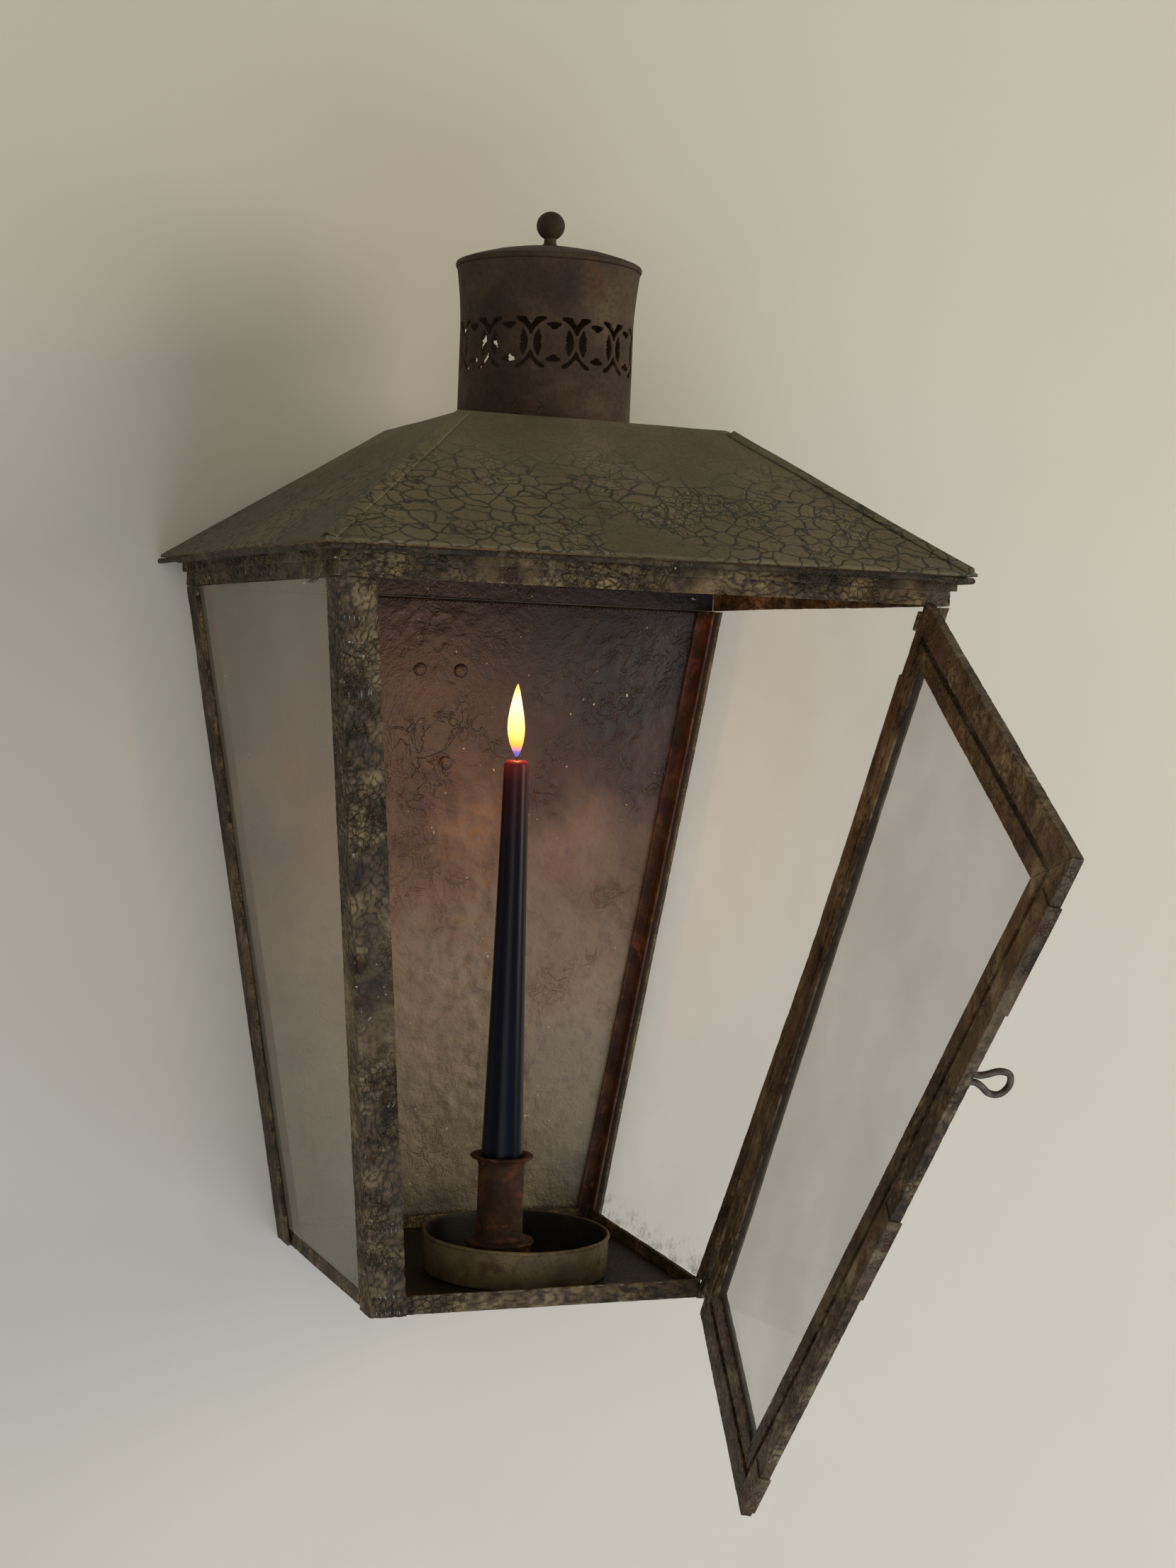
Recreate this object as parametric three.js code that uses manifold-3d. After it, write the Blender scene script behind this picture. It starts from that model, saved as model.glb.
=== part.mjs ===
// Outdoor wall lantern: tapered four-sided tin body with two fixed side panes, a glazed door hung
// along the right-hand front post, a hipped roof with a pierced chimney, and a loose candle holder.
// Millimetres. X is to the right, the front faces -Y, Z is up, and the wall is the plane y = 0.

import * as THREE from 'three'
import Module from 'manifold-3d'

// Body, measured on its outer faces.
const bodyHeight = 358
const baseFrontHalf = 90
const topFrontHalf = 150
const baseDepth = 172
const topDepth = 286
const sideSplay = 0.0205
const sheet = 2
const gap = 0.3

// Posts, cames and glazing.
const leftFlangeTop = 18
const leftFlangeFoot = 19
const rightFlangeTop = 13
const rightFlangeFoot = 5
const leftSideFlange = 18
const rightSideFlange = 8
const leftRearFlange = 20
const rightRearFlange = 12
const glassThick = 2
const beadThick = 1.5
const baseRailHeight = 9.5
const baseRailFlange = 11
const fasciaBand = 7.5

// Roof.
const eaveRise = 16
const eaveZ = bodyHeight + eaveRise
const eaveFront = topDepth + 10
const eaveRear = 3
const eaveFrontHalf = topFrontHalf + 9
const eaveRearHalf = topFrontHalf + 21
const roofRise = 68
const roofTopZ = eaveZ + roofRise
const roofDrop = 1.6
const eaveBeadRadius = 1.3

// Chimney.
const chimneyY = -124
const chimneyRadius = 44.2
const chimneyTopRadius = chimneyRadius + 2.6
const chimneyWall = 1.2
const draughtLip = 3
const chimneyHeight = 81
const bandRepeats = 12
const plainRepeats = 3
const bandCentre = 40
const bandHeight = 24
const capDome = 12
const ballRadius = 7.3

// The flat top of the roof: what it leaves round the chimney's foot.
const landingSide = 24.8
const landingFront = 32.8
const landingRear = 6.8
const roofTopHalf = chimneyRadius + landingSide
const roofTopFront = chimneyRadius + landingFront - chimneyY
const roofTopRear = -chimneyY - chimneyRadius - landingRear

// Door, drawn closed and then turned to the angle it stands open at.
const doorOpenDeg = 77
const doorTopZ = bodyHeight + 4
const doorFootZ = -4
const hingeTopX = topFrontHalf - 14
const hingeFootX = baseFrontHalf - 2
const postGapTop = 3
const postGapFoot = 7
const doorTopWidth = hingeTopX + topFrontHalf - leftFlangeTop - postGapTop
const doorFootWidth = hingeFootX + baseFrontHalf - leftFlangeFoot - postGapFoot
const doorThick = 5
const doorFrameWidth = 25
const hingeStileWidth = 18
const doorSkin = 1.2
const rebateDeep = 8
const grooveFrom = 13
const grooveWide = 3
const grooveDeep = 2
const doorGap = 0.8
const hingeOut = doorGap + doorThick / 2
const eyeRadius = hingeOut - 0.15
const stileClear = eyeRadius + 0.6
const knuckleRadius = 2.6
const wireRadius = 1.2

// Candle and its holder.
const holderX = 8
const holderY = 65 - baseDepth
const panRadius = 48.8
const panHeight = 21
const socketX = holderX - 6
const socketY = holderY + 10
const socketHeight = 60
const candleDiameter = 22
const candleTipDiameter = 13
const candleTopZ = 273
const candleSeat = 22
const socketFit = 0.25
const socketWall = 1.05
const socketFlare = 5.75

const wasm = await Module()
wasm.setup()

const group = new THREE.Group()
group.name = 'wall_lantern'

const paints = {
  roofPaint: { color: 0x65604b, roughness: 0.75, metalness: 0.1 },
  bodyPaint: { color: 0x4a4335, roughness: 0.8, metalness: 0.1 },
  doorPaint: { color: 0x45392b, roughness: 0.8, metalness: 0.1 },
  chimneyPaint: { color: 0x4a4036, roughness: 0.85, metalness: 0.1 },
  backPaint: { color: 0x6b5a48, roughness: 0.85, metalness: 0.05 },
  rustyTin: { color: 0x5e4034, roughness: 0.85, metalness: 0.2 },
  panTin: { color: 0x6e6650, roughness: 0.8, metalness: 0.2 },
  wire: { color: 0x4a443a, roughness: 0.6, metalness: 0.5 },
  wax: { color: 0x1b2340, roughness: 0.35, metalness: 0 },
  cotton: { color: 0x2a241e, roughness: 0.9, metalness: 0 },
}
const materials = {}
for (const [key, settings] of Object.entries(paints)) {
  materials[key] = new THREE.MeshStandardMaterial(settings)
}
materials.glass = new THREE.MeshStandardMaterial({
  color: 0xc9d2cc, roughness: 0.08, metalness: 0, transparent: true, opacity: 0.3,
})

function addMesh(name, geometry, materialKey, matrix) {
  if (matrix) geometry.applyMatrix4(matrix)
  geometry.computeVertexNormals()
  const mesh = new THREE.Mesh(geometry, materials[materialKey])
  mesh.name = name
  group.add(mesh)
  return mesh
}

// ---- plain solids -------------------------------------------------------------------------------

function makeGeometry(points, triangles) {
  let volume = 0
  for (const [a, b, c] of triangles) {
    const [p, q, r] = [points[a], points[b], points[c]]
    volume += p[0] * (q[1] * r[2] - q[2] * r[1])
    volume += p[1] * (q[2] * r[0] - q[0] * r[2])
    volume += p[2] * (q[0] * r[1] - q[1] * r[0])
  }
  const ordered = volume < 0 ? triangles.map(([a, b, c]) => [a, c, b]) : triangles
  const geometry = new THREE.BufferGeometry()
  geometry.setAttribute('position', new THREE.Float32BufferAttribute(points.flat(), 3))
  geometry.setIndex(ordered.flat())
  return geometry
}

function capTriangles(ring) {
  const normal = [0, 0, 0]
  ring.forEach((p, i) => {
    const q = ring[(i + 1) % ring.length]
    normal[0] += (p[1] - q[1]) * (p[2] + q[2])
    normal[1] += (p[2] - q[2]) * (p[0] + q[0])
    normal[2] += (p[0] - q[0]) * (p[1] + q[1])
  })
  const size = normal.map(Math.abs)
  const drop = size.indexOf(Math.max(...size))
  const flat = ring.map((p) => new THREE.Vector2(p[(drop + 1) % 3], p[(drop + 2) % 3]))
  const sign = normal[drop] > 0 ? 1 : -1
  const contour = sign > 0 ? flat : flat.slice().reverse()
  const count = ring.length
  return THREE.ShapeUtils.triangulateShape(contour, []).map((tri) =>
    sign > 0 ? tri : [count - 1 - tri[0], count - 1 - tri[2], count - 1 - tri[1]])
}

// A closed solid between rings that have the same number of corners.
function loft(rings) {
  const count = rings[0].length
  const points = rings.flat()
  const triangles = []
  for (let level = 0; level + 1 < rings.length; level += 1) {
    const low = level * count
    const high = low + count
    for (let i = 0; i < count; i += 1) {
      const j = (i + 1) % count
      triangles.push([low + i, low + j, high + j])
      triangles.push([low + i, high + j, high + i])
    }
  }
  const last = (rings.length - 1) * count
  for (const [a, b, c] of capTriangles(rings[0])) triangles.push([a, c, b])
  for (const [a, b, c] of capTriangles(rings[rings.length - 1])) {
    triangles.push([last + a, last + b, last + c])
  }
  return makeGeometry(points, triangles)
}

// A turned solid about a vertical line. The profile is [radius, z] pairs; a closed profile is a ring.
function turned(profile, segments, [x, y], closed = false) {
  const points = []
  const starts = profile.map(([radius, z]) => {
    const start = points.length
    const copies = radius === 0 ? 1 : segments
    for (let k = 0; k < copies; k += 1) {
      const angle = (2 * Math.PI * k) / segments
      points.push([x + radius * Math.cos(angle), y + radius * Math.sin(angle), z])
    }
    return start
  })
  const triangles = []
  const steps = closed ? profile.length : profile.length - 1
  for (let i = 0; i < steps; i += 1) {
    const next = (i + 1) % profile.length
    const [onAxis, nextOnAxis] = [profile[i][0] === 0, profile[next][0] === 0]
    for (let k = 0; k < segments; k += 1) {
      const m = (k + 1) % segments
      const [a, b] = onAxis ? [starts[i], starts[i]] : [starts[i] + k, starts[i] + m]
      const [c, d] = nextOnAxis ? [starts[next], starts[next]] : [starts[next] + k, starts[next] + m]
      if (!onAxis) triangles.push([a, b, d])
      if (!nextOnAxis) triangles.push([a, d, c])
    }
  }
  return makeGeometry(points, triangles)
}

function toManifold(geometry) {
  const vertProperties = new Float32Array(geometry.attributes.position.array)
  const triVerts = new Uint32Array(geometry.index.array)
  const mesh = new wasm.Mesh({ numProp: 3, vertProperties, triVerts })
  mesh.merge()
  return new wasm.Manifold(mesh)
}

function fromManifold(solid) {
  const mesh = solid.getMesh()
  const geometry = new THREE.BufferGeometry()
  geometry.setAttribute('position', new THREE.Float32BufferAttribute(mesh.vertProperties, 3))
  geometry.setIndex(Array.from(mesh.triVerts))
  return geometry
}

// ---- the tapered body ---------------------------------------------------------------------------

function frontHalf(z) {
  return baseFrontHalf + ((topFrontHalf - baseFrontHalf) * z) / bodyHeight
}

function bodyDepth(z) {
  return baseDepth + ((topDepth - baseDepth) * z) / bodyHeight
}

// A point of the plan at height z: `inset` in from a side face, `back` in from the front face.
function fromFront(side, z, inset, back) {
  const y = -bodyDepth(z) + back
  return [side * (frontHalf(z) + back * sideSplay - inset), y, z]
}

// The same, measured forward from the wall.
function fromWall(side, z, inset, forward) {
  const half = frontHalf(z) + (bodyDepth(z) - forward) * sideSplay
  return [side * (half - inset), -forward, z]
}

// A quadrilateral with each edge moved in by its own amount (or all by one), as four mitred corners.
function insetQuad(quad, inset) {
  const insets = Array.isArray(inset) ? inset : quad.map(() => inset)
  const corners = quad.map((p) => new THREE.Vector3(...p))
  const across = corners[1].clone().sub(corners[0])
  const normal = across.cross(corners[3].clone().sub(corners[0])).normalize()
  return corners.map((corner, i) => {
    const next = corners[(i + 1) % 4].clone().sub(corner).normalize()
    const before = corners[(i + 3) % 4].clone().sub(corner).normalize()
    const sine = normal.dot(next.clone().cross(before))
    return corner.clone().addScaledVector(before, insets[i] / sine)
      .addScaledVector(next, insets[(i + 3) % 4] / sine)
  })
}

const mitreGap = 0.15
const evenWidths = [1, 1, 1, 1]

// One mitred member of a frame. The profile is [inset, rise] pairs: rise runs along `up`, and each
// edge's insets are scaled by its share in `widths`.
function frameMember(quad, index, profile, up, widths = evenWidths) {
  const at = (inset) => insetQuad(quad, widths.map((width) => width * inset))
  const ends = [index, (index + 1) % 4].map((corner) =>
    profile.map(([inset, rise]) => at(inset)[corner].addScaledVector(up, rise)))
  const along = ends[1][0].clone().sub(ends[0][0]).normalize()
  ends[0].forEach((p) => p.addScaledVector(along, mitreGap))
  ends[1].forEach((p) => p.addScaledVector(along, -mitreGap))
  return loft(ends.map((ring) => ring.map((p) => p.toArray())))
}

const upward = new THREE.Vector3(0, 0, 1)
const edgeNames = ['front', 'right', 'back', 'left']

function planQuad(z) {
  return [
    fromFront(-1, z, 0, 0), fromFront(1, z, 0, 0), fromWall(1, z, 0, 0), fromWall(-1, z, 0, 0),
  ]
}

// ---- floor, rails and fascia --------------------------------------------------------------------

const railLip = 1.6
const railProfile = [
  [sheet + gap, 0], [baseRailFlange, 0], [baseRailFlange, railLip],
  [2 * sheet + gap, railLip], [2 * sheet + gap, baseRailHeight], [sheet + gap, baseRailHeight],
]
edgeNames.forEach((edge, i) => {
  addMesh(`base_rail_${edge}`, frameMember(planQuad(0), i, railProfile, upward), 'bodyPaint')
})

function floorRing(z) {
  return insetQuad(planQuad(0), 2 * sheet + 2 * gap).map((p) => [p.x, p.y, z])
}
const floorThick = 1.2
const floorUnderside = railLip + gap
const floorTop = floorUnderside + floorThick
addMesh('floor_plate', loft([floorRing(floorUnderside), floorRing(floorTop)]), 'panTin')

const fasciaFoot = gap
const fasciaStep = fasciaBand
const fasciaTop = eaveZ - bodyHeight - roofDrop - 0.7
const fasciaProfile = [
  [0, fasciaFoot], [sheet + 0.1, fasciaFoot], [sheet + 0.1, fasciaTop], [-5.4, fasciaTop],
  [-5.4, fasciaTop - 1.4], [-2.4, fasciaTop - 1.4], [-2.4, fasciaStep], [0, fasciaStep],
]
const fasciaRearProfile = fasciaProfile.map(([inset, rise]) => [Math.max(inset, 0), rise])
edgeNames.forEach((edge, i) => {
  const rear = [[0, fasciaFoot], [sheet, fasciaFoot], [sheet, fasciaTop], [0, fasciaTop]]
  const quad = planQuad(bodyHeight)
  if (edge !== 'back') {
    addMesh(`fascia_${edge}`, frameMember(quad, i, fasciaProfile, upward), 'bodyPaint')
    return
  }
  const short = quad.map((p, k) => (k > 1 ? [p[0] - Math.sign(p[0]) * (sheet + 2 * gap), p[1], p[2]] : p))
  const rearRing = (side) => rear.map(([inset, rise]) => [short[side][0], -inset, bodyHeight + rise])
  addMesh('fascia_back', loft([rearRing(2), rearRing(3)]), 'backPaint')
})

// ---- back panel, hanger and rivets --------------------------------------------------------------

const backFace = 3.2
const backRear = 2
function backRing(forward) {
  const foot = baseRailHeight + gap
  const head = bodyHeight - gap
  return [
    fromWall(-1, foot, sheet + gap, forward), fromWall(1, foot, sheet + gap, forward),
    fromWall(1, head, sheet + gap, forward), fromWall(-1, head, sheet + gap, forward),
  ]
}
addMesh('back_panel', loft([backRing(backRear), backRing(backFace)]), 'backPaint')

const hangerZ = bodyHeight - 58
const hangerHalf = 42
const hangerTall = 42
const hangerHoleRadius = 5
const hangerPlate = new THREE.Shape()
hangerPlate.moveTo(-hangerHalf, -hangerTall)
hangerPlate.lineTo(hangerHalf, -hangerTall)
hangerPlate.lineTo(hangerHalf, hangerTall - 12)
hangerPlate.lineTo(14, hangerTall + 12)
hangerPlate.lineTo(-14, hangerTall + 12)
hangerPlate.lineTo(-hangerHalf, hangerTall - 12)
const hangerHole = new THREE.Path()
hangerHole.absarc(0, hangerTall - 4, hangerHoleRadius, 0, 2 * Math.PI, true)
hangerPlate.holes.push(hangerHole)
const hangerGeometry = new THREE.ExtrudeGeometry(hangerPlate, {
  depth: backRear - gap, bevelEnabled: false, curveSegments: 10,
})
hangerGeometry.rotateX(Math.PI / 2)
hangerGeometry.translate(0, 0, hangerZ)
addMesh('hanger_plate', hangerGeometry, 'rustyTin')

const rivetSpots = [[-24, 18], [0, 18], [-7, -34]]
rivetSpots.forEach(([x, z], i) => {
  const dome = [[0, 0], [4.2, 0], [3.7, 0.9], [2.2, 1.6], [0, 1.9]]
  const geometry = turned(dome, 14, [0, 0])
  geometry.rotateX(Math.PI / 2)
  geometry.translate(x, -backFace - 0.05, hangerZ + z)
  addMesh(`hanger_rivet_${i + 1}`, geometry, 'backPaint')
})

// ---- posts, cames, glazing beads and side panes -------------------------------------------------

function postRing(side, z, flange) {
  const sideFlange = side < 0 ? leftSideFlange : rightSideFlange
  return [
    fromFront(side, z, 0, 0), fromFront(side, z, flange, 0), fromFront(side, z, flange, sheet),
    fromFront(side, z, sheet, sheet), fromFront(side, z, sheet, sideFlange),
    fromFront(side, z, 0, sideFlange),
  ]
}
const postTop = bodyHeight - gap
const leftPost = [postRing(-1, 0, leftFlangeFoot), postRing(-1, postTop, leftFlangeTop)]
const rightPost = [postRing(1, 0, rightFlangeFoot), postRing(1, postTop, rightFlangeTop)]
addMesh('front_left_post', loft(leftPost), 'bodyPaint')
addMesh('front_right_post', loft(rightPost), 'bodyPaint')

const rearFlange = (side) => (side < 0 ? leftRearFlange : rightRearFlange)
function cameRing(side, z) {
  return [
    fromWall(side, z, 0, 0), fromWall(side, z, sheet, 0), fromWall(side, z, sheet, rearFlange(side)),
    fromWall(side, z, 0, rearFlange(side)),
  ]
}
function beadFrontRing(side, z) {
  const inner = sheet + glassThick + 2 * gap
  const sideFlange = side < 0 ? leftSideFlange : rightSideFlange
  return [
    fromFront(side, z, inner, sheet + gap), fromFront(side, z, inner + beadThick, sheet + gap),
    fromFront(side, z, inner + beadThick, sideFlange), fromFront(side, z, inner, sideFlange),
  ]
}
function beadRearRing(side, z) {
  const inner = sheet + glassThick + 2 * gap
  return [
    fromWall(side, z, inner, backFace + gap), fromWall(side, z, inner + 8, backFace + gap),
    fromWall(side, z, inner + 8, backFace + gap + beadThick),
    fromWall(side, z, inner + beadThick, backFace + gap + beadThick),
    fromWall(side, z, inner + beadThick, rearFlange(side)), fromWall(side, z, inner, rearFlange(side)),
  ]
}
function paneRing(side, inset) {
  const foot = baseRailHeight + gap
  const head = bodyHeight
  return [
    fromFront(side, foot, inset, sheet + gap), fromWall(side, foot, inset, backFace + gap),
    fromWall(side, head, inset, backFace + gap), fromFront(side, head, inset, sheet + gap),
  ]
}
const beadFoot = baseRailHeight + gap
for (const [side, word] of [[-1, 'left'], [1, 'right']]) {
  addMesh(`rear_${word}_came`, loft([cameRing(side, 0), cameRing(side, postTop)]), 'bodyPaint')
  const front = [beadFrontRing(side, beadFoot), beadFrontRing(side, postTop)]
  addMesh(`${word}_front_bead`, loft(front), 'bodyPaint')
  const rear = [beadRearRing(side, beadFoot), beadRearRing(side, postTop)]
  addMesh(`${word}_rear_bead`, loft(rear), 'rustyTin')
  const pane = [paneRing(side, sheet + gap), paneRing(side, sheet + gap + glassThick)]
  addMesh(`${word}_glass`, loft(pane), 'glass')
}

// A curl of tin torn from the left fascia.
function curlRing(y) {
  const x = -frontHalf(bodyHeight) - 2.9
  const outline = [[0, 3], [0.1, 0], [0.8, -4], [3.6, -7], [4.3, -6.3], [1.7, -3.7], [1, 0], [0.8, 3]]
  return outline.map(([out, rise]) => [x - out, y, bodyHeight + 4 + rise])
}
addMesh('torn_tab', loft([curlRing(-topDepth + 22), curlRing(-topDepth + 12)]), 'bodyPaint')

// ---- roof ---------------------------------------------------------------------------------------

const eaveQuad = [
  [-eaveFrontHalf, -eaveFront, eaveZ], [eaveFrontHalf, -eaveFront, eaveZ],
  [eaveRearHalf, -eaveRear, eaveZ], [-eaveRearHalf, -eaveRear, eaveZ],
]
const topQuad = [
  [-roofTopHalf, -roofTopFront, roofTopZ], [roofTopHalf, -roofTopFront, roofTopZ],
  [roofTopHalf, -roofTopRear, roofTopZ], [-roofTopHalf, -roofTopRear, roofTopZ],
]

function shrinkToward(points, amount) {
  const centre = new THREE.Vector3()
  points.forEach((p) => centre.add(new THREE.Vector3(...p)))
  centre.divideScalar(points.length)
  return points.map((p) => {
    const point = new THREE.Vector3(...p)
    const reach = centre.clone().sub(point)
    return point.addScaledVector(reach.normalize(), amount).toArray()
  })
}

edgeNames.forEach((edge, i) => {
  const j = (i + 1) % 4
  const outline = shrinkToward([eaveQuad[i], eaveQuad[j], topQuad[j], topQuad[i]], 0.5)
  const under = outline.map(([x, y, z]) => [x, y, z - roofDrop])
  addMesh(`roof_${edge}`, loft([under, outline]), 'roofPaint')
  if (edge === 'back') return
  const bead = []
  for (let k = 0; k < 10; k += 1) {
    const angle = (2 * Math.PI * k) / 10
    const rise = eaveBeadRadius * Math.sin(angle) - roofDrop - eaveBeadRadius - 0.5
    bead.push([eaveBeadRadius * Math.cos(angle), rise])
  }
  addMesh(`eave_bead_${edge}`, frameMember(eaveQuad, i, bead, upward), 'roofPaint')
})

// Lapped strips over the two front hips.
function hipStrip(corner, otherA, otherB) {
  const foot = new THREE.Vector3(...eaveQuad[corner])
  const head = new THREE.Vector3(...topQuad[corner])
  const along = head.clone().sub(foot).normalize()
  const arms = [otherA, otherB].map((other) => {
    const arm = new THREE.Vector3(...eaveQuad[other]).sub(foot)
    return arm.addScaledVector(along, -arm.dot(along)).normalize()
  })
  const lift = new THREE.Vector3().crossVectors(along, arms[0])
  const liftB = new THREE.Vector3().crossVectors(arms[1], along)
  const sense = lift.z > 0 ? 1 : -1
  const rise = lift.add(liftB).multiplyScalar(sense).normalize()
  const at = (base, arm, reach, height) =>
    base.clone().addScaledVector(arm, reach).addScaledVector(rise, height).toArray()
  const ring = (base) => [
    at(base, arms[0], 5, 0.35), at(base, arms[0], 4.6, 1.0), at(base, arms[0], 0, 1.4),
    at(base, arms[1], 4.6, 1.0), at(base, arms[1], 5, 0.35), at(base, arms[0], 0, 0.35),
  ]
  return loft([
    ring(foot.clone().addScaledVector(along, 3)), ring(head.clone().addScaledVector(along, -3)),
  ])
}
addMesh('hip_strip_left', hipStrip(0, 3, 1), 'roofPaint')
addMesh('hip_strip_right', hipStrip(1, 0, 2), 'roofPaint')

const flatTop = shrinkToward(topQuad, 0.6)
const flatSolid = toManifold(loft([flatTop.map(([x, y, z]) => [x, y, z - roofDrop]), flatTop]))
const draughtRadius = chimneyRadius - chimneyWall - draughtLip
const draught = [
  [0, roofTopZ - 5], [draughtRadius, roofTopZ - 5], [draughtRadius, roofTopZ + 5], [0, roofTopZ + 5],
]
const draughtHole = toManifold(turned(draught, 40, [0, chimneyY]))
addMesh('roof_flat', fromManifold(flatSolid.subtract(draughtHole)), 'roofPaint')

// ---- chimney ------------------------------------------------------------------------------------

const chimneyFoot = roofTopZ + gap
const chimneyTop = chimneyFoot + chimneyHeight
const wallProfile = [[0, 0], [0.62, 0], [0.86, 0.35], [1, 1]]
const outerWall = wallProfile.map(([up, flare]) =>
  [chimneyRadius + (chimneyTopRadius - chimneyRadius) * flare, chimneyFoot + chimneyHeight * up])
const innerWall = outerWall.slice().reverse().map(([radius, z]) => [radius - chimneyWall, z])
const tube = toManifold(turned([...outerWall, ...innerWall], 72, [0, chimneyY], true))

// Cut-outs on the unrolled wall, as [across, up] outlines in millimetres about a repeat's centre.
// The first few repeats, on the side towards the wall, are left plain.
const pitch = (2 * Math.PI * chimneyRadius) / bandRepeats
const polar = (radius, degrees) =>
  [radius * Math.cos((degrees * Math.PI) / 180), radius * Math.sin((degrees * Math.PI) / 180)]
const outerArc = [-42, -21, 0, 21, 42].map((degrees) => polar(10.2, degrees))
const crescent = [...outerArc, polar(8.2, 28), polar(6.8, 10), polar(6.8, -10), polar(8.2, -28)]
const slot = [[3.4, 9.5], [-3.4, 9.5], [-2.4, 7.4], [2.4, 7.4]]
const wing = [[7.4, 12.1], [2.7, 12.1]]
const arm = [35, 52, 69].map((degrees) => {
  const [across, up] = polar(12.2, degrees)
  return [pitch / 2 - across, up]
})
const mirrorX = (outline) => outline.map(([across, up]) => [-across, up]).reverse()
const mirrorZ = (outline) => outline.map(([across, up]) => [across, -up]).reverse()
const shift = (outline, by) => outline.map(([across, up]) => [across + by, up])
const birdHalf = [...arm, ...wing]
const bird = shift([[0, 4.2], ...birdHalf, [0, 9.9], ...mirrorX(birdHalf)], pitch / 2)
const cutOuts = [crescent, mirrorX(crescent), slot, mirrorZ(slot), bird, mirrorZ(bird)]
function radialCut(outline, turn) {
  const ring = (radius) => outline.map(([across, up]) => {
    const angle = turn + across / chimneyRadius
    const z = chimneyFoot + bandCentre + (up * bandHeight) / 24
    return [radius * Math.cos(angle), chimneyY + radius * Math.sin(angle), z]
  })
  return toManifold(loft([ring(chimneyRadius - 4), ring(chimneyRadius + 4)]))
}
let pierced = tube
for (let k = plainRepeats; k < bandRepeats; k += 1) {
  const turn = (2 * Math.PI * (k + 0.5)) / bandRepeats
  for (const outline of cutOuts) pierced = pierced.subtract(radialCut(outline, turn))
}
addMesh('chimney_tube', fromManifold(pierced), 'chimneyPaint')

const capFoot = chimneyTop + gap
const capRim = chimneyTopRadius + 0.9
const capProfile = [
  [0, capFoot], [capRim - 0.3, capFoot], [capRim, capFoot + 0.8], [capRim, capFoot + 2.4],
  [capRim - 1.2, capFoot + 3.4], [capRim * 0.8, capFoot + 6.2], [capRim * 0.55, capFoot + 9],
  [capRim * 0.28, capFoot + 11.2], [4.4, capFoot + capDome], [0, capFoot + capDome],
]
addMesh('chimney_cap', turned(capProfile, 72, [0, chimneyY]), 'chimneyPaint')

const finialFoot = capFoot + capDome + gap
const ballCentre = finialFoot + 3.6 + ballRadius
const finialProfile = [[0, finialFoot], [4.2, finialFoot], [3.4, finialFoot + 1.4], [3.2, finialFoot + 4.2]]
for (let k = 0; k <= 8; k += 1) {
  const angle = -1.08 + (k * (Math.PI / 2 + 1.08)) / 8
  const radius = k === 8 ? 0 : ballRadius * Math.cos(angle)
  finialProfile.push([radius, ballCentre + ballRadius * Math.sin(angle)])
}
addMesh('finial', turned(finialProfile, 28, [0, chimneyY]), 'chimneyPaint')

// ---- door ---------------------------------------------------------------------------------------

const slope = new THREE.Vector3(0, -(topDepth - baseDepth), bodyHeight).normalize()
const outward = new THREE.Vector3(0, -slope.z, slope.y)

function onFront(x, z, out) {
  return new THREE.Vector3(x, -bodyDepth(z), z).addScaledVector(outward, out)
}

const hingeFoot = onFront(hingeFootX, doorFootZ, hingeOut)
const hingeHead = onFront(hingeTopX, doorTopZ, hingeOut)
const hingeAxis = hingeHead.clone().sub(hingeFoot).normalize()
const hingeLength = hingeHead.distanceTo(hingeFoot)
const doorOuter = doorGap + doorThick
const doorQuad = [
  onFront(hingeFootX - doorFootWidth, doorFootZ, doorOuter),
  onFront(hingeFootX - stileClear, doorFootZ, doorOuter),
  onFront(hingeTopX - stileClear, doorTopZ, doorOuter),
  onFront(hingeTopX - doorTopWidth, doorTopZ, doorOuter),
].map((p) => p.toArray())
const inward = outward.clone().negate()

const swing = new THREE.Matrix4().makeTranslation(hingeFoot)
swing.multiply(new THREE.Matrix4().makeRotationAxis(hingeAxis, (doorOpenDeg * Math.PI) / 180))
swing.multiply(new THREE.Matrix4().makeTranslation(hingeFoot.clone().negate()))

const paneSlot = doorFrameWidth - rebateDeep
const grooveTo = grooveFrom + grooveWide
const grooveFloor = doorThick - grooveDeep
const doorProfile = [
  [0, 0], [doorFrameWidth, 0], [doorFrameWidth, doorSkin], [paneSlot, doorSkin],
  [paneSlot, doorThick - doorSkin], [doorFrameWidth, doorThick - doorSkin], [doorFrameWidth, doorThick],
  [grooveTo, doorThick], [grooveTo, grooveFloor], [grooveFrom, grooveFloor], [grooveFrom, doorThick],
  [0, doorThick],
]
const doorEdges = ['door_bottom_rail', 'door_hinge_stile', 'door_top_rail', 'door_latch_stile']
const doorWidths = [1, hingeStileWidth / doorFrameWidth, 1, 1]
doorEdges.forEach((name, i) => {
  addMesh(name, frameMember(doorQuad, i, doorProfile, inward, doorWidths), 'doorPaint', swing)
})

const paneInset = insetQuad(doorQuad, doorWidths.map((width) => width * paneSlot + gap))
const doorPane = [doorSkin + gap, doorThick - doorSkin - gap].map((depth) =>
  paneInset.map((p) => p.clone().addScaledVector(inward, depth).toArray()))
addMesh('door_glass', loft(doorPane), 'glass', swing)

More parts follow.
